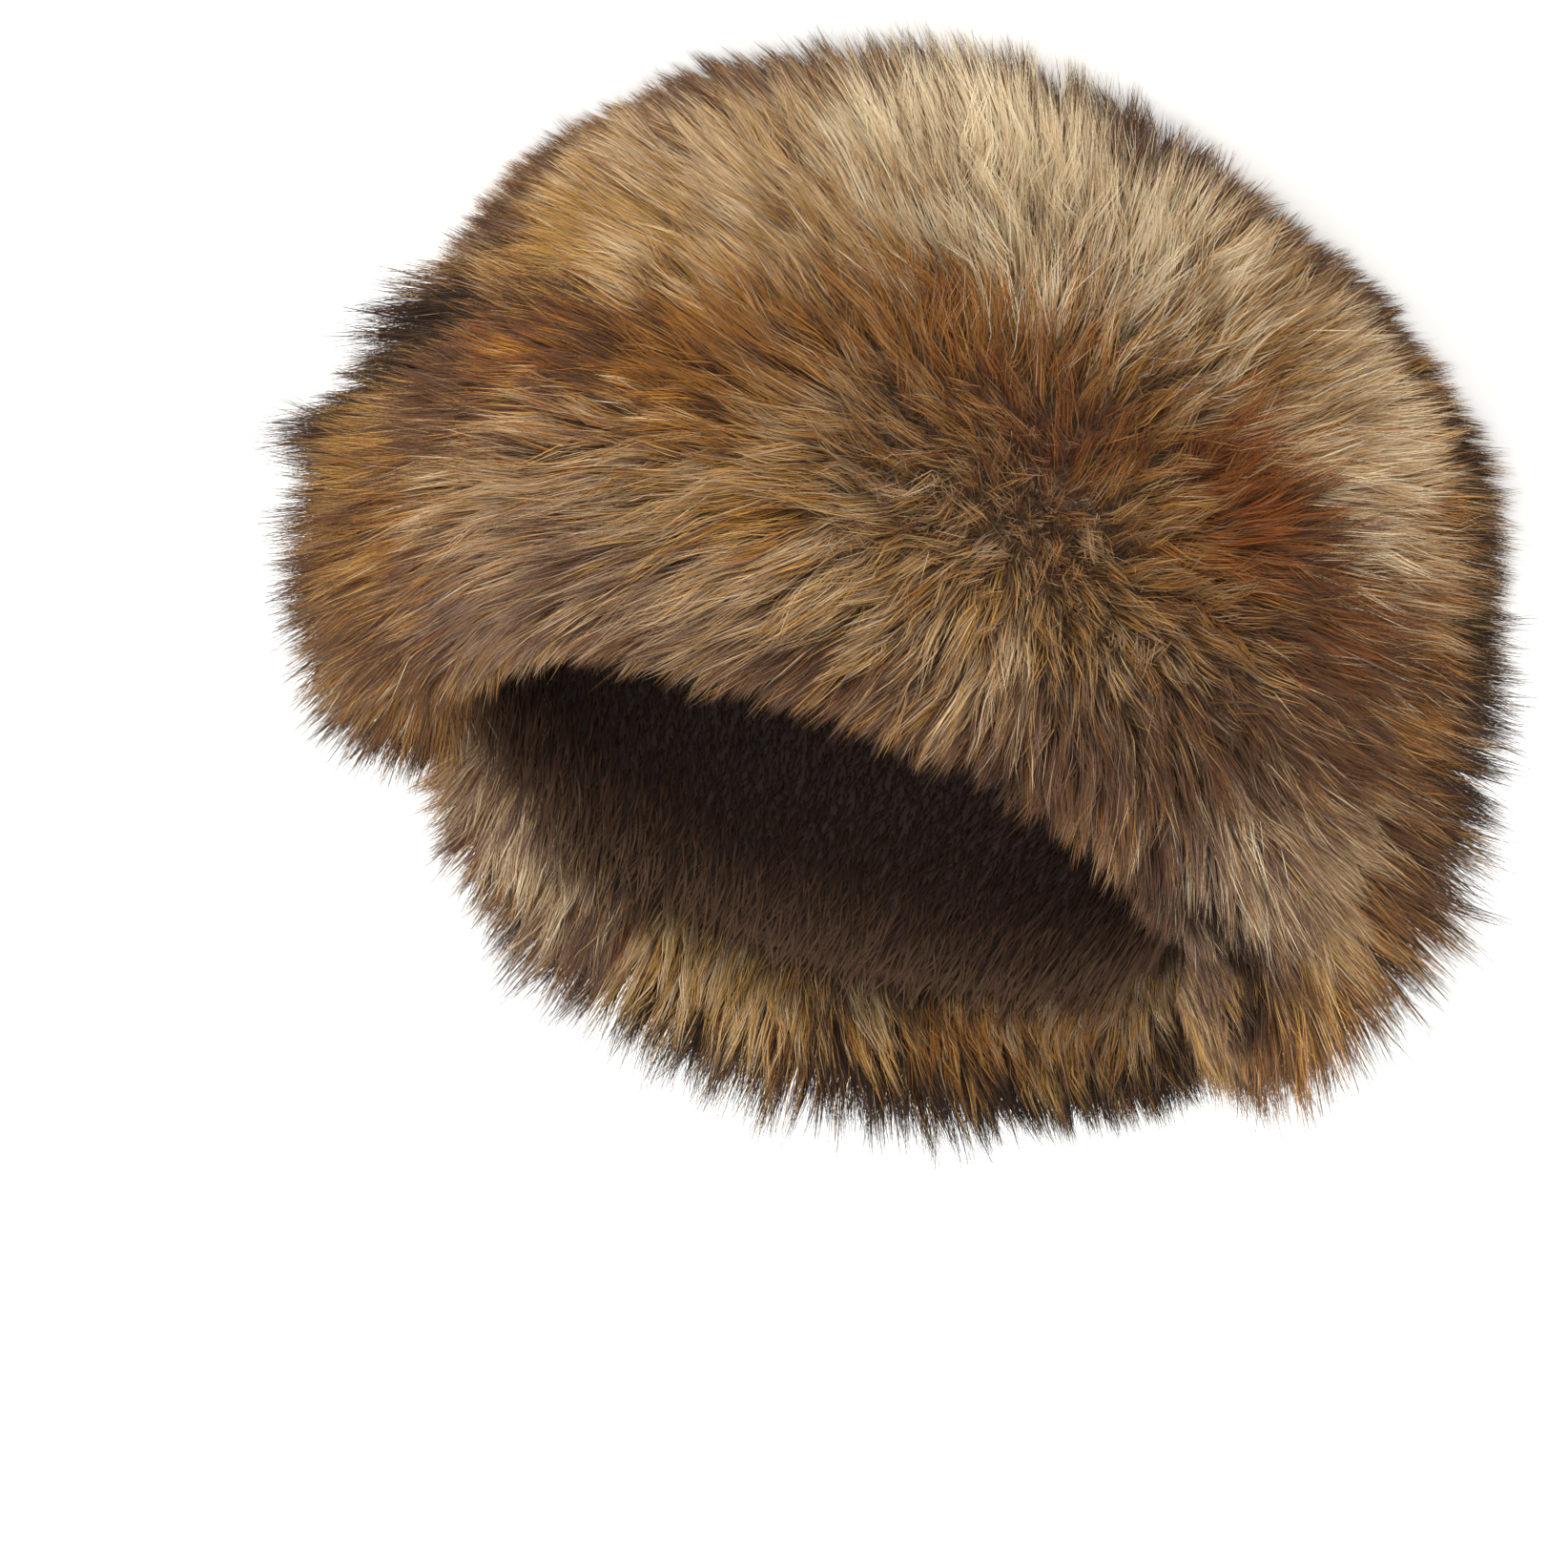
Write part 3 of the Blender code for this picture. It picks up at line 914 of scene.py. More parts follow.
    def hair_length(self, angle: np.ndarray, station: np.ndarray) -> np.ndarray:
        """How long the fur is at places of the band."""
        height_share = self.along_section("height", station)
        _, reach = self.swell(angle)
        length = self.lock_length * reach * self.along_section("length", station)
        length = length * (1 - self.crease_depth * self.crease(angle))
        length = length * (1 - self.furrow_depth * self.furrow(angle, height_share))
        length = length * (1 + sum(trim.at(self, angle, station) for trim in TRIMS))
        return length * self.kept_reach(angle, height_share)


@dataclass(frozen=True)
class Comb:
    """How the coat is combed: away from a whorl on the forehead, and flat towards the creases."""

    whorl_angle: float = -11.0
    whorl_height: float = 0.68
    whorl_size: float = 0.040  # how far from its middle the fur is combed fully
    sideways: float = 0.40  # most lean along the band, as a slope
    rim_sideways: float = 1.9  # how many times further it leans on the upper rim
    rim_starts: float = 0.8  # share of the padding's height where the rim starts, and takes to come in
    rim_fade: float = 0.15
    drift: float = 0.20  # lean of the whole front towards +X
    upwards: float = 18.0  # most that the comb turns a hair up or down

    def lean(self, form: BandForm, angle: np.ndarray, height: np.ndarray) -> tuple[np.ndarray, np.ndarray]:
        """How the fur leans at places.

        Args:
            form: The band.
            angle: Angles round it.
            height: Shares of the padding's height.

        Returns:
            The lean along the band as a slope, and the turn upwards in degrees.
        """
        along = np.radians(angle - self.whorl_angle) * (form.half_width + form.pad_depth)
        up = (height - self.whorl_height) * form.pad_height
        far = np.hypot(along, up)
        pull = (1 - np.exp(-far / self.whorl_size)) / np.maximum(far, 1e-6)
        end = np.where(angle > 0, form.left_crease, form.right_crease)
        in_front = np.clip(angle / end, 0, 1)
        behind = (angle > form.left_crease) | (angle < form.right_crease)
        fade = np.where(behind, 0, np.cos(in_front * np.pi / 2))
        rim = 1 + (self.rim_sideways - 1) * np.clip((height - self.rim_starts) / self.rim_fade, 0, 1)
        return (self.sideways * rim * along * pull + self.drift) * fade, self.upwards * up * pull


@dataclass
class Hairs:
    """Hairs as arrays, one row for each: the points along it, its colours, and where it is rooted."""

    points: np.ndarray
    facing: np.ndarray  # the way that its flat side faces
    width: np.ndarray
    shade: np.ndarray  # its place across the colour map, and those of its root and tip along it
    angle: np.ndarray
    up: np.ndarray

    def part(self, mine: np.ndarray) -> "Hairs":
        """Takes some of the hairs."""
        return Hairs(**{name: rows[mine] for name, rows in vars(self).items()})


def ribbons(name: str, hairs: Hairs, finish: bpy.types.Material) -> bpy.types.Object:
    """Makes one joined mesh of tapered flat hairs.

    Args:
        name: The piece's name.
        hairs: The hairs in it.
        finish: Their material.

    Returns:
        The new piece.
    """
    points, width, shade = hairs.points, hairs.width, hairs.shade
    count, steps, _ = points.shape
    along = points[:, -1] - points[:, 0]
    along /= np.linalg.norm(along, axis=-1, keepdims=True)
    flat = np.cross(along, hairs.facing)
    flat /= np.linalg.norm(flat, axis=-1, keepdims=True)
    part = np.linspace(0, 1, steps)[:-1]
    taper = np.interp(part, HAIR_PARTS, HAIR_TAPER)
    half = flat[:, None, :] * (width[:, None] * taper[None, :] / 2)[..., None]
    body = points[:, :-1]
    corners = np.stack([body - half, body + half], 2).reshape(count, 2 * (steps - 1), 3)
    places = np.concatenate([corners, points[:, -1:]], 1)
    each = places.shape[1]

    quads = [(2 * k, 2 * k + 1, 2 * k + 3, 2 * k + 2) for k in range(steps - 2)]
    last = 2 * (steps - 2)
    pattern = np.array([corner for quad in quads for corner in quad] + [last, last + 1, last + 2])
    corner_of = (np.arange(count)[:, None] * each + pattern).ravel()
    starts = np.arange(steps - 1) * 4
    face_starts = (np.arange(count)[:, None] * len(pattern) + starts).ravel()

    mesh = bpy.data.meshes.new(name)
    mesh.vertices.add(count * each)
    mesh.vertices.foreach_set("co", places.astype(np.float32).ravel())
    mesh.loops.add(len(corner_of))
    mesh.loops.foreach_set("vertex_index", corner_of.astype(np.int32))
    mesh.polygons.add(len(face_starts))
    mesh.polygons.foreach_set("loop_start", face_starts.astype(np.int32))
    mesh.update(calc_edges=True)
    mesh.polygons.foreach_set("use_smooth", np.ones(len(face_starts), bool))

    across, root, tip = shade[:, 0:1], shade[:, 1:2], shade[:, 2:3]
    u = np.repeat(across, each, 1)
    u[:, 0:-1:2] -= HAIR_ON_MAP
    u[:, 1:-1:2] += HAIR_ON_MAP
    v = root + np.concatenate([np.repeat(part, 2), [1.0]])[None, :] * (tip - root)
    on_map = np.stack([u, v], -1).reshape(-1, 2)[corner_of]
    layer = mesh.uv_layers.new(name=BAKE_MAP)
    layer.data.foreach_set("uv", on_map.astype(np.float32).ravel())
    mesh.materials.append(finish)
    piece = bpy.data.objects.new(name, mesh)
    bpy.context.scene.collection.objects.link(piece)
    return piece


class TuftGrid:
    """Tufts on uneven rows over the whole unrolled band. Each hair belongs to the nearest one."""

    def __init__(self, form: BandForm, spacing: float, stray: float, seed: int) -> None:
        """Lays out the middles of the tufts.

        Args:
            form: The band that they grow on.
            spacing: Mean distance between neighbours, in metres.
            stray: How far they stray from even rows, as a share of that.
            seed: Which layout it is.
        """
        self.columns = round(form.girth / spacing)
        self.rows = round(form.section / spacing)
        self.aspect = form.girth / form.section
        draw = np.random.default_rng(seed)
        row, column = np.mgrid[0 : self.rows, 0 : self.columns]
        shift = draw.uniform(-stray, stray, (2, self.rows, self.columns))
        self.across = ((column + 0.5 + shift[0]) / self.columns).ravel() % 1.0
        self.up = np.clip((row + 0.5 + shift[1]) / self.rows, 0, 1).ravel()

    def nearest(self, across: np.ndarray, up: np.ndarray) -> np.ndarray:
        """Finds the tuft that each place belongs to.

        Args:
            across: Places round the band, from 0 to 1.
            up: Places along its section, from 0 to 1.

        Returns:
            The number of each place's tuft.
        """
        column = np.floor(across * self.columns).astype(int)
        row = np.floor(up * self.rows).astype(int)
        best, number = np.full(len(across), np.inf), np.zeros(len(across), int)
        for down in (-1, 0, 1):
            for over in (-1, 0, 1):
                other_row = np.clip(row + down, 0, self.rows - 1)
                other = other_row * self.columns + (column + over) % self.columns
                gap = (self.across[other] - across + 0.5) % 1.0 - 0.5
                far = (gap * self.aspect) ** 2 + (self.up[other] - up) ** 2
                closer = far < best
                best[closer], number[closer] = far[closer], other[closer]
        return number


@dataclass
class Coat:
    """The long fur: tapered flat hairs that lean together into fine tufts.

    The hairs are made as arrays, because there are too many to model one by one, and are split into tracts
    round the band.
    """

    form: BandForm
    comb: Comb
    finish: bpy.types.Material
    hair_spacing: float = 0.00067
    tuft_spacing: float = 0.0033
    tuft_stray: float = 0.42  # how far tufts stray from even rows, as a share of that
    hair_width: float = 0.00028
    widths: tuple[float, float] = (0.7, 1.25)  # least and most of the width, as shares
    steps: int = 3  # points along a hair
    lengths: tuple[float, float] = (0.62, 1.05)  # of the hairs in a tuft, as shares of its length
    tuft_lengths: tuple[float, float] = (0.84, 1.06)  # of tufts, as shares of the fur's length there
    uneven: float = 0.10  # how much longer or shorter the fur is in places
    gather: float = 0.55  # how far the tips of a tuft come together
    gather_curve: float = 1.3  # how late along the hairs they do
    wild: float = 0.06  # share of hairs that leave their tuft, which are longer and thinner
    wild_lengths: tuple[float, float] = (0.9, 1.18)
    wild_sway: float = 1.6
    wild_gather: float = 0.15
    wild_width: float = 0.6
    tuft_sway: float = 7.0  # degrees by which tufts lean apart, and hairs in a tuft
    hair_sway: float = 5.0
    root_turn: float = 0.4  # share of the sway and of the comb's turn upwards that a root has
    root_lean: float = 0.35  # share of the comb's lean that a root has
    tip_lean: float = 0.9  # and what is added on the way to the tip
    sweep: float = 11.0  # degrees by which whole locks lean apart
    bend: float = 9.0  # degrees by which a tuft curves along its length
    turned: float = 0.5  # how unevenly the flat hairs face outwards
    root_depth: float = 0.19  # place of a root along the colour map, in the light and in full shadow
    deep_root: float = 0.02
    tip_depth: float = 0.60  # place of a tip that isn't dipped, in the light and in full shadow
    deep_tip: float = 0.16
    dipped: float = 0.20  # share of the hairs with a dark tip where nothing else is said
    least_dip: float = 0.6
    patchiness: float = 0.5  # how much the mix of tones changes from place to place
    cloud_luck: float = 0.6  # how far places, tufts and single hairs go their own way in picking a tone
    tuft_luck: float = 0.22
    hair_luck: float = 0.55
    blend: float = 0.015  # how far a hair's tone strays across the colour map
    map_margin: float = 0.02
    mix_noise: tuple[int, int] = (40, 10)  # random values round the band and along its section
    sweep_noise: tuple[int, int] = (52, 13)
    length_noise: tuple[int, int] = (60, 15)
    cloud_noise: tuple[int, int] = (96, 24)
    floor_gap: float = 0.0010
    floor_ease: float = 0.0035  # height under which hairs bend to lie along the floor
    tracts: int = 8
    seed: int = 11

    def _mix(self, angle: np.ndarray, up: np.ndarray) -> np.ndarray:
        """How likely each tone is at places, one column for each tone."""
        across = (angle + 180) / 360
        columns = []
        for number, tone in enumerate(Tone):
            weight = np.full(len(angle), USUAL_MIX[tone])
            for mark in TONE_AND_SHADE_MARKS[tone]:
                weight += mark.at(self.form, angle, up)
            patchy = smooth_noise(across, up, self.mix_noise, self.seed + 20 + number)
            columns.append(weight * np.exp(self.patchiness * patchy))
        mix = np.stack(columns, -1)
        return mix / mix.sum(-1, keepdims=True)

    @staticmethod
    def _pick(mix: np.ndarray, chance: np.ndarray) -> np.ndarray:
        """Picks a tone for each row of a mix, by a chance from 0 to 1."""
        values = np.array([tone.value for tone in Tone])
        picked = (chance[:, None] > np.cumsum(mix, -1)).sum(-1)
        return values[np.minimum(picked, len(values) - 1)]

    def _paths(
        self, angle: np.ndarray, station: np.ndarray, length: np.ndarray, sway: np.ndarray
    ) -> np.ndarray:
        """The points along hairs.

        Args:
            angle: Angles of their roots.
            station: Places of their roots along the section.
            length: Their lengths.
            sway: How each leans away from the comb's way, along the band and upwards, and how it bends in
                these two ways, in degrees.

        Returns:
            An array of hairs, points and coordinates.
        """
        height = self.form.along_section("height", station)
        out, side = self.form.ways(angle)
        slope, turn = self.comb.lean(self.form, angle, height)
        slope = slope + sum(lean.at(self.form, angle, station) for lean in LEANS)
        rise = self.form.along_section("rise", station)
        rise = rise + sum(parting.at(self.form, angle, station) for parting in PARTINGS)
        points = [self.form.point(angle, station)]
        for step in range(1, self.steps):
            part = (step - 0.5) / (self.steps - 1)
            share = self.root_turn + part
            aside, upwards = (sway[:, k] * share + sway[:, k + 2] * (2 * part - 1) for k in (0, 1))
            lean = (slope * (self.root_lean + self.tip_lean * part) + np.tan(np.radians(aside)))[:, None]
            steep = np.radians(rise + turn * share + upwards)[:, None]
            way = out * np.cos(steep) + side * lean
            way[:, 2:3] += np.sin(steep)
            way /= np.linalg.norm(way, axis=-1, keepdims=True)
            points.append(points[-1] + way * (length / (self.steps - 1))[:, None])
        return np.stack(points, 1)

    def _above_floor(self, points: np.ndarray) -> np.ndarray:
        """Bends what would reach below the floor, so that it lies along it."""
        low = points[..., 2] < self.floor_ease
        room = self.floor_ease - self.floor_gap
        eased = self.floor_gap + room * np.exp((points[..., 2] - self.floor_ease) / room)
        points[..., 2] = np.where(low, eased, points[..., 2])
        return points

    def grow(self) -> Hairs:
        """Grows every hair of the coat, as arrays."""
        form, draw = self.form, np.random.default_rng(self.seed)
        columns, rows = round(form.girth / self.hair_spacing), round(form.section / self.hair_spacing)
        across, up = scatter(draw, columns, rows)
        count = len(across)
        angle = across * 360 - 180
        grid = TuftGrid(form, self.tuft_spacing, self.tuft_stray, self.seed + 1)
        tuft = grid.nearest(across, up)

        tufts = len(grid.up)
        tuft_angle = grid.across * 360 - 180
        noises = [smooth_noise(grid.across, grid.up, self.sweep_noise, self.seed + n) for n in (2, 3)]
        sweep = np.stack(noises, -1)
        sway = sweep * self.sweep + draw.normal(0, self.tuft_sway, (tufts, 2))
        tuft_sway = np.concatenate([sway, draw.normal(0, self.bend, (tufts, 2))], -1)
        swell = 1 + self.uneven * smooth_noise(grid.across, grid.up, self.length_noise, self.seed + 4)
        tuft_length = form.hair_length(tuft_angle, grid.up) * swell * draw.uniform(*self.tuft_lengths, tufts)
        tuft_points = self._paths(tuft_angle, grid.up, tuft_length, tuft_sway)

        share = draw.uniform(*self.lengths, count)
        wild = draw.uniform(0, 1, count) < self.wild
        share[wild] = draw.uniform(*self.wild_lengths, int(wild.sum()))
        apart = np.where(wild, self.wild_sway, 1.0)[:, None]
        sway = tuft_sway[tuft] + draw.normal(0, self.hair_sway, (count, 4)) * apart
        points = self._paths(angle, up, tuft_length[tuft] * share, sway)
        part = np.linspace(0, 1, self.steps)
        reached = np.clip(share[:, None] * part[None, :], 0, 1) * (self.steps - 1)
        before = np.minimum(reached.astype(int), self.steps - 2)
        over = (reached - before)[..., None]
        led = tuft_points[tuft[:, None], before] * (1 - over) + tuft_points[tuft[:, None], before + 1] * over
        gathered = np.where(wild, self.wild_gather, 1.0)[:, None, None]
        pull = self.gather * (part**self.gather_curve)[None, :, None] * gathered
        points = self._above_floor(points * (1 - pull) + led * pull)

        cloud = smooth_noise(across, up, self.cloud_noise, self.seed + 6) * self.cloud_luck
        luck = cloud + draw.normal(0, self.tuft_luck, tufts)[tuft] + draw.normal(0, self.hair_luck, count)
        chance = np.argsort(np.argsort(luck)) / count
        tone = self._pick(self._mix(angle, up), chance) + draw.normal(0, self.blend, count)
        tone = np.clip(tone, self.map_margin, 1 - self.map_margin)
        tipped = self.dipped * (1 + smooth_noise(across, up, self.mix_noise, self.seed + 5))
        tipped = tipped + sum(dip.at(form, angle, up) for dip in DIPPED)
        dip = np.where(draw.uniform(0, 1, count) < tipped, draw.uniform(self.least_dip, 1.0, count), 0.0)
        dark = np.clip(sum(shadow.at(form, angle, up) for shadow in SHADOWS), 0, 1)
        root = self.root_depth + (self.deep_root - self.root_depth) * dark
        tip = self.tip_depth + (1 - self.tip_depth) * dip
        tip = tip + (self.deep_tip - tip) * dark
        shade = np.stack([tone, root, tip], -1)
        width = self.hair_width * draw.uniform(*self.widths, count) * np.where(wild, self.wild_width, 1.0)
        return Hairs(points, self._facing(angle, up, draw), width, shade, angle, up)

    def _facing(self, angle: np.ndarray, up: np.ndarray, draw: np.random.Generator) -> np.ndarray:
        """The ways that the flat hairs face: out of the padding, unevenly."""
        out, _ = self.form.ways(angle)
        rise = np.radians(self.form.along_section("rise", up))[:, None]
        facing = out * np.cos(rise)
        facing[:, 2:3] += np.sin(rise)
        return facing + draw.normal(0, self.turned, facing.shape)

    def build(self) -> list[bpy.types.Object]:
        """Makes the tracts of the coat.

        Returns:
            One piece for each tract.
        """
        hairs = self.grow()
        tract = np.clip(((hairs.angle + 180) / 360 * self.tracts).astype(int), 0, self.tracts - 1)
        made = []
        for number in range(self.tracts):
            mine = tract == number
            piece = ribbons(f"pile_{number + 1}", hairs.part(mine), self.finish)
            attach(piece, BODY)
            log.info("%s: %d hairs", piece.name, int(mine.sum()))
            made.append(piece)
        return made


@dataclass
class PaddedPanel:
    """One panel of the band under its fur: wadding in a knitted backing, with flat closed ends."""

    form: BandForm
    finish: bpy.types.Material
    name: str
    replaced: str
    first: float
    last: float
    around: int = 40
    step: float = 4.0
    proud: float = 0.001
    edge_at: float = 150.0  # angles on the round section that become the lining's upper edge and the foot
    foot_at: float = 270.0
    plumb_above: float = 0.12  # share of the way up the inner side from which it is plumb

    def build(self) -> bpy.types.Object:
        """Spins a section into the panel, and presses it into the band's form."""
        form = self.form
        radius = form.pad_depth / 2
        centre = form.half_length + radius
        start = math.radians(self.first)
        deselect_all()
        bpy.ops.mesh.primitive_circle_add(
            vertices=self.around,
            radius=radius,
            fill_type="NGON",
            location=(centre * math.sin(start), -centre * math.cos(start), radius),
            rotation=(math.pi / 2, 0.0, start + math.pi / 2),
        )
        panel = bpy.context.object
        panel.name = panel.data.name = self.name
        bpy.ops.object.transform_apply(location=True, rotation=True, scale=True)
        bpy.ops.object.mode_set(mode="EDIT")
        bpy.ops.mesh.select_all(action="SELECT")
        turn = math.radians(self.last - self.first)
        steps = round((self.last - self.first) / self.step)
        bpy.ops.mesh.spin(steps=steps, angle=-turn, center=(0.0, 0.0, 0.0), axis=(0.0, 0.0, 1.0))
        bpy.ops.mesh.select_all(action="SELECT")
        bpy.ops.mesh.normals_make_consistent(inside=False)
        # Creased, the end faces keep their full size when the rest is softened, so the panels meet
        bpy.ops.mesh.select_all(action="DESELECT")
        bpy.ops.mesh.select_face_by_sides(number=self.around)
        bpy.ops.transform.edge_crease(value=1.0)
        bpy.ops.object.mode_set(mode="OBJECT")
        move_to(panel, self._pressed(positions(panel), radius, centre))
        soften = panel.modifiers.new("soften", "SUBSURF")
        soften.levels = soften.render_levels = 1
        bpy.ops.object.modifier_apply(modifier=soften.name)
        bpy.ops.object.shade_smooth()
        panel.data.materials.append(self.finish)
        return panel

    def _pressed(self, places: np.ndarray, radius: float, centre: float) -> np.ndarray:
        """Moves the round section's points to the padding's own section.

        Args:
            places: The points of the spun ring.
            radius: The radius of its section.
            centre: The distance of the section's middle from the axis.

        Returns:
            The points of the padded panel.
        """
        form = self.form
        angle = wrapped(np.degrees(np.arctan2(places[:, 0], -places[:, 1])))
        off = np.hypot(places[:, 0], places[:, 1]) - centre
        round_it = np.degrees(np.arctan2(places[:, 2] - radius, off)) % 360
        outer = (round_it < self.edge_at) | (round_it > self.foot_at)
        before = 360 - self.foot_at
        station = np.where(outer, ((round_it + before) % 360) / (before + self.edge_at), 0)
        pressed = form.point(angle, station, self.proud)
        top = form.point(angle, np.ones_like(station))
        share = np.clip((self.foot_at - round_it) / (self.foot_at - self.edge_at), 0, 1)[:, None]
        foot = form.point(angle, np.zeros_like(station))
        inner = foot * (1 - share) + top * share
        level = np.where(share > self.plumb_above, top[:, :2], inner[:, :2])
        inner = np.concatenate([level, inner[:, 2:]], 1)
        return np.where(outer[:, None], pressed, inner)

    def dress(self, panel: bpy.types.Object) -> None:
        """Attaches the panel to the band's body, hides the construction's part that it replaces, and logs its
        faces.
        """
        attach(panel, BODY)
        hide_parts(self.replaced)
        log.info("%s: %d faces", panel.name, len(panel.data.polygons))


@dataclass
class Lining:
    """The plush tube inside the band, open at both ends."""

    finish: bpy.types.Material
    wall: float = LINING_WALL
    sides: int = 144
    smooth_angle: float = 40.0

    def build(self) -> bpy.types.Object:
        """Models the tube inside the construction's lining, and gives it its thickness."""
        low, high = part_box("lining")
        height = high.z - low.z
        deselect_all()
        bpy.ops.mesh.primitive_cylinder_add(
            vertices=self.sides,
            radius=1.0,
            depth=height,
            end_fill_type="NOTHING",
            location=(0.0, 0.0, low.z + height / 2),
        )
        tube = bpy.context.object
        tube.name = tube.data.name = "plush_lining"
        tube.scale = ((high.x - low.x) / 2 - self.wall, (high.y - low.y) / 2 - self.wall, 1.0)
        bpy.ops.object.transform_apply(location=True, rotation=True, scale=True)
        bpy.ops.object.mode_set(mode="EDIT")
        bpy.ops.mesh.select_all(action="SELECT")
        bpy.ops.mesh.normals_make_consistent(inside=False)
        bpy.ops.object.mode_set(mode="OBJECT")
        tube.data.materials.append(self.finish)
        thick = tube.modifiers.new("wall", "SOLIDIFY")
        thick.thickness = self.wall
        thick.offset = 1.0
        bpy.ops.object.modifier_apply(modifier=thick.name)
        bpy.ops.object.shade_smooth_by_angle(angle=math.radians(self.smooth_angle))
        return tube

    def dress(self, tube: bpy.types.Object) -> None:
        """Attaches the lining to the band's body and hides the construction's lining."""
        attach(tube, BODY)
        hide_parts("lining")


@dataclass
class Nap:
    """The short brushed hairs on the lining's inner side, longer towards its upper edge."""

    form: BandForm
    finish: bpy.types.Material
    wall: float = LINING_WALL
    spacing: float = 0.0015
    shortest: float = 0.004
    longest: float = 0.022
    lengthens: float = 5.0  # how late on its way up the nap gets longer
    uneven: tuple[float, float] = (0.7, 1.2)  # least and most of a hair's length and width, as shares
    inward: float = 0.9  # how far the nap leans into the opening at the floor, and how much less at the top
    less_inward: float = 0.5
    stray: float = 0.25  # how far hairs lean along the band
    lean: float = 1.4  # how much of its lean a hair has, less so much for each step along it
    straightens: float = 0.5
    turned: float = 0.6
    hair_width: float = 0.0007
    blend: float = 0.03  # how far a hair's tone strays across the colour map
    map_margin: float = 0.01
    ends: float = 0.2  # how far roots and tips stray from the ends of the colour map
    steps: int = 3
    seed: int = 23

    def grow(self) -> Hairs:
        """Grows the nap, as arrays."""
        low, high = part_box("lining")
        draw = np.random.default_rng(self.seed)
        half = ((high.x - low.x) / 2 - self.wall, (high.y - low.y) / 2 - self.wall)
        columns = round(math.pi * sum(half) / self.spacing)
        rows = round((high.z - low.z) / self.spacing)
        across, share = scatter(draw, columns, rows)
        angle = across * 360 - 180
        count = len(angle)
        out, side = self.form.ways(angle)
        root = np.stack([out[:, 0] * half[0], out[:, 1] * half[1], low.z + share * (high.z - low.z)], -1)
        length = self.shortest + (self.longest - self.shortest) * share**self.lengthens
        length = (length * draw.uniform(*self.uneven, count))[:, None]
        inward = (self.inward - self.less_inward * share)[:, None]
        aside = side * draw.normal(0, self.stray, (count, 1))
        points = [root]
        for step in range(1, self.steps):
            way = aside - out * inward * (self.lean - self.straightens * step)
            way[:, 2] += 1.0
            way /= np.linalg.norm(way, axis=-1, keepdims=True)
            points.append(points[-1] + way * length / (self.steps - 1))
        width = self.hair_width * draw.uniform(*self.uneven, count)
        # The nap's height is its place on the colour map, which carries the painted shade of the opening
        across = share + draw.normal(0, self.blend, count)
        across = np.clip(across, self.map_margin, 1 - self.map_margin)
        root_on_map = draw.uniform(0, self.ends, count)
        tip_on_map = draw.uniform(1 - self.ends, 1.0, count)
        shade = np.stack([across, root_on_map, tip_on_map], -1)
        facing = draw.normal(0, self.turned, out.shape) - out
        return Hairs(np.stack(points, 1), facing, width, shade, angle, share)

    def build(self) -> bpy.types.Object:
        """Makes the nap as one piece."""
        hairs = self.grow()
        piece = ribbons("lining_nap", hairs, self.finish)
        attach(piece, BODY)
        log.info("%s: %d hairs", piece.name, len(hairs.angle))
        return piece


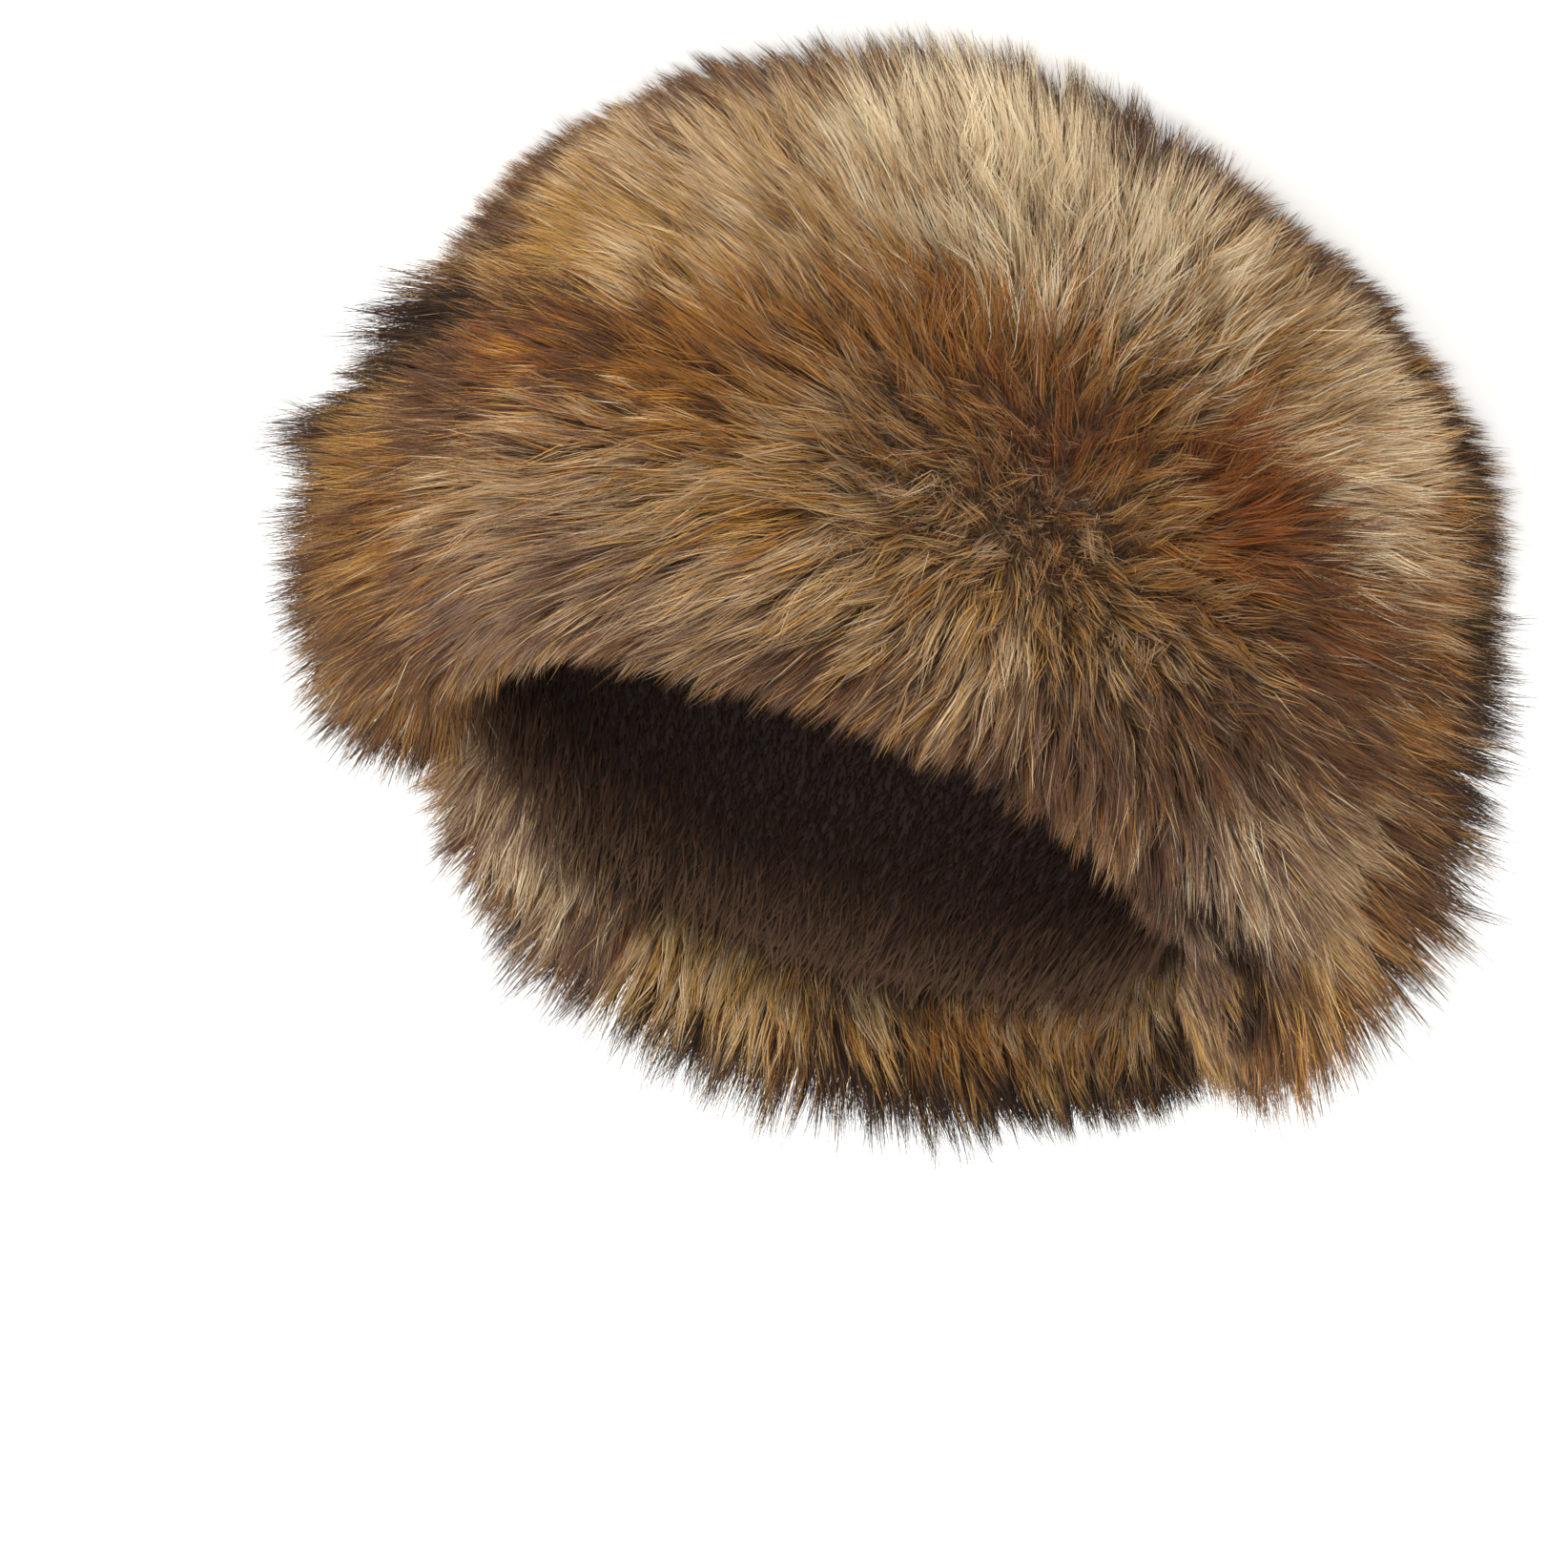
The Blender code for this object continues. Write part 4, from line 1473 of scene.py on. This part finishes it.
@dataclass
class Studio:
    """A pale floor, soft lights and the camera at the photograph's angle to the band."""

    image_size: int = 1644
    aim: tuple[float, float, float] = (0.0, 0.0, 0.082)
    aim_pixel: tuple[float, float] = (938.0, 652.0)  # where the aim shows in the picture
    distance: float = 1.3
    elevation: float = 25.0
    roll: float = 200.0  # the band is seen the way up in which it is worn
    focal_pixels: float = 5395.0
    sensor: float = 36.0
    sky: str = "#f7f7f6"
    sky_strength: float = 1.0

    def add_camera(self) -> None:
        """Places the camera, turned so that the aim shows at its pixel."""
        data = bpy.data.cameras.new("studio_camera")
        data.sensor_width = self.sensor
        data.lens = self.focal_pixels / self.image_size * self.sensor
        data.clip_start, data.clip_end = 0.05, 60.0
        camera = bpy.data.objects.new("studio_camera", data)
        bpy.context.scene.collection.objects.link(camera)
        up = math.radians(self.elevation)
        back = Vector((0.0, -math.cos(up), math.sin(up)))
        camera.location = Vector(self.aim) + back * self.distance
        level = (-back).to_track_quat("-Z", "Y")
        rolled = level @ Quaternion((0.0, 0.0, 1.0), math.radians(self.roll))
        middle = self.image_size / 2
        seen = Vector((self.aim_pixel[0] - middle, middle - self.aim_pixel[1], -self.focal_pixels))
        aside = Vector((0.0, 0.0, -1.0)).rotation_difference(seen.normalized())
        camera.rotation_mode = "QUATERNION"
        camera.rotation_quaternion = rolled @ aside.inverted()
        bpy.context.scene.camera = camera

    def add_light(self, name: str, place: tuple[float, float, float], size: float, power: float) -> None:
        """Adds a square soft light that faces the band.

        Args:
            name: The light's name.
            place: Where it stands.
            size: Its width and height.
            power: Its power in watts.
        """
        data = bpy.data.lights.new(name, "AREA")
        data.shape = "SQUARE"
        data.size, data.energy = size, power
        light = bpy.data.objects.new(name, data)
        light.location = place
        light.rotation_euler = (Vector(self.aim) - Vector(place)).to_track_quat("-Z", "Y").to_euler()
        bpy.context.scene.collection.objects.link(light)

    def build(self) -> None:
        """Makes the floor, the world's even light, the lights and the camera."""
        deselect_all()
        bpy.ops.mesh.primitive_plane_add(size=24.0, location=(0.0, 0.0, 0.0))
        floor = bpy.context.object
        floor.name = "studio_floor"
        floor.data.materials.append(LightTable().make())
        world = bpy.data.worlds.new("studio_world")
        world.use_nodes = True
        sky = world.node_tree.nodes["Background"]
        plug(sky, Color=linear(self.sky), Strength=self.sky_strength)
        bpy.context.scene.world = world
        bpy.context.scene.view_settings.view_transform = "Standard"
        self.add_light("key_light", (0.3, -2.6, 0.9), 1.4, 70.0)
        self.add_light("fill_light", (1.9, -1.2, 0.8), 1.4, 12.0)
        self.add_light("back_light", (0.3, 2.2, 2.2), 1.8, 18.0)
        self.add_camera()


def main() -> None:
    """Builds the padding, the lining, its nap, the coat and the studio, and logs the panels, the nap and each
    tract of the coat.
    """
    form = BandForm.round_the_lining()
    backing = PileBacking().make()
    left, right = form.left_crease, form.right_crease
    for place, first, last in (("front", right, left), ("back", left, right + 360.0)):
        panel = PaddedPanel(
            form, backing, f"padding_{place}", f"fur_{place}", first + JOINT_GAP, last - JOINT_GAP
        )
        panel.dress(panel.build())
    lining = Lining(PlushLining().make())
    lining.dress(lining.build())
    pile = FauxFur().make()
    Nap(form, PlushNap().make()).build()
    Coat(form, Comb(), pile).build()
    Studio().build()


if __name__ == "__main__":
    main()
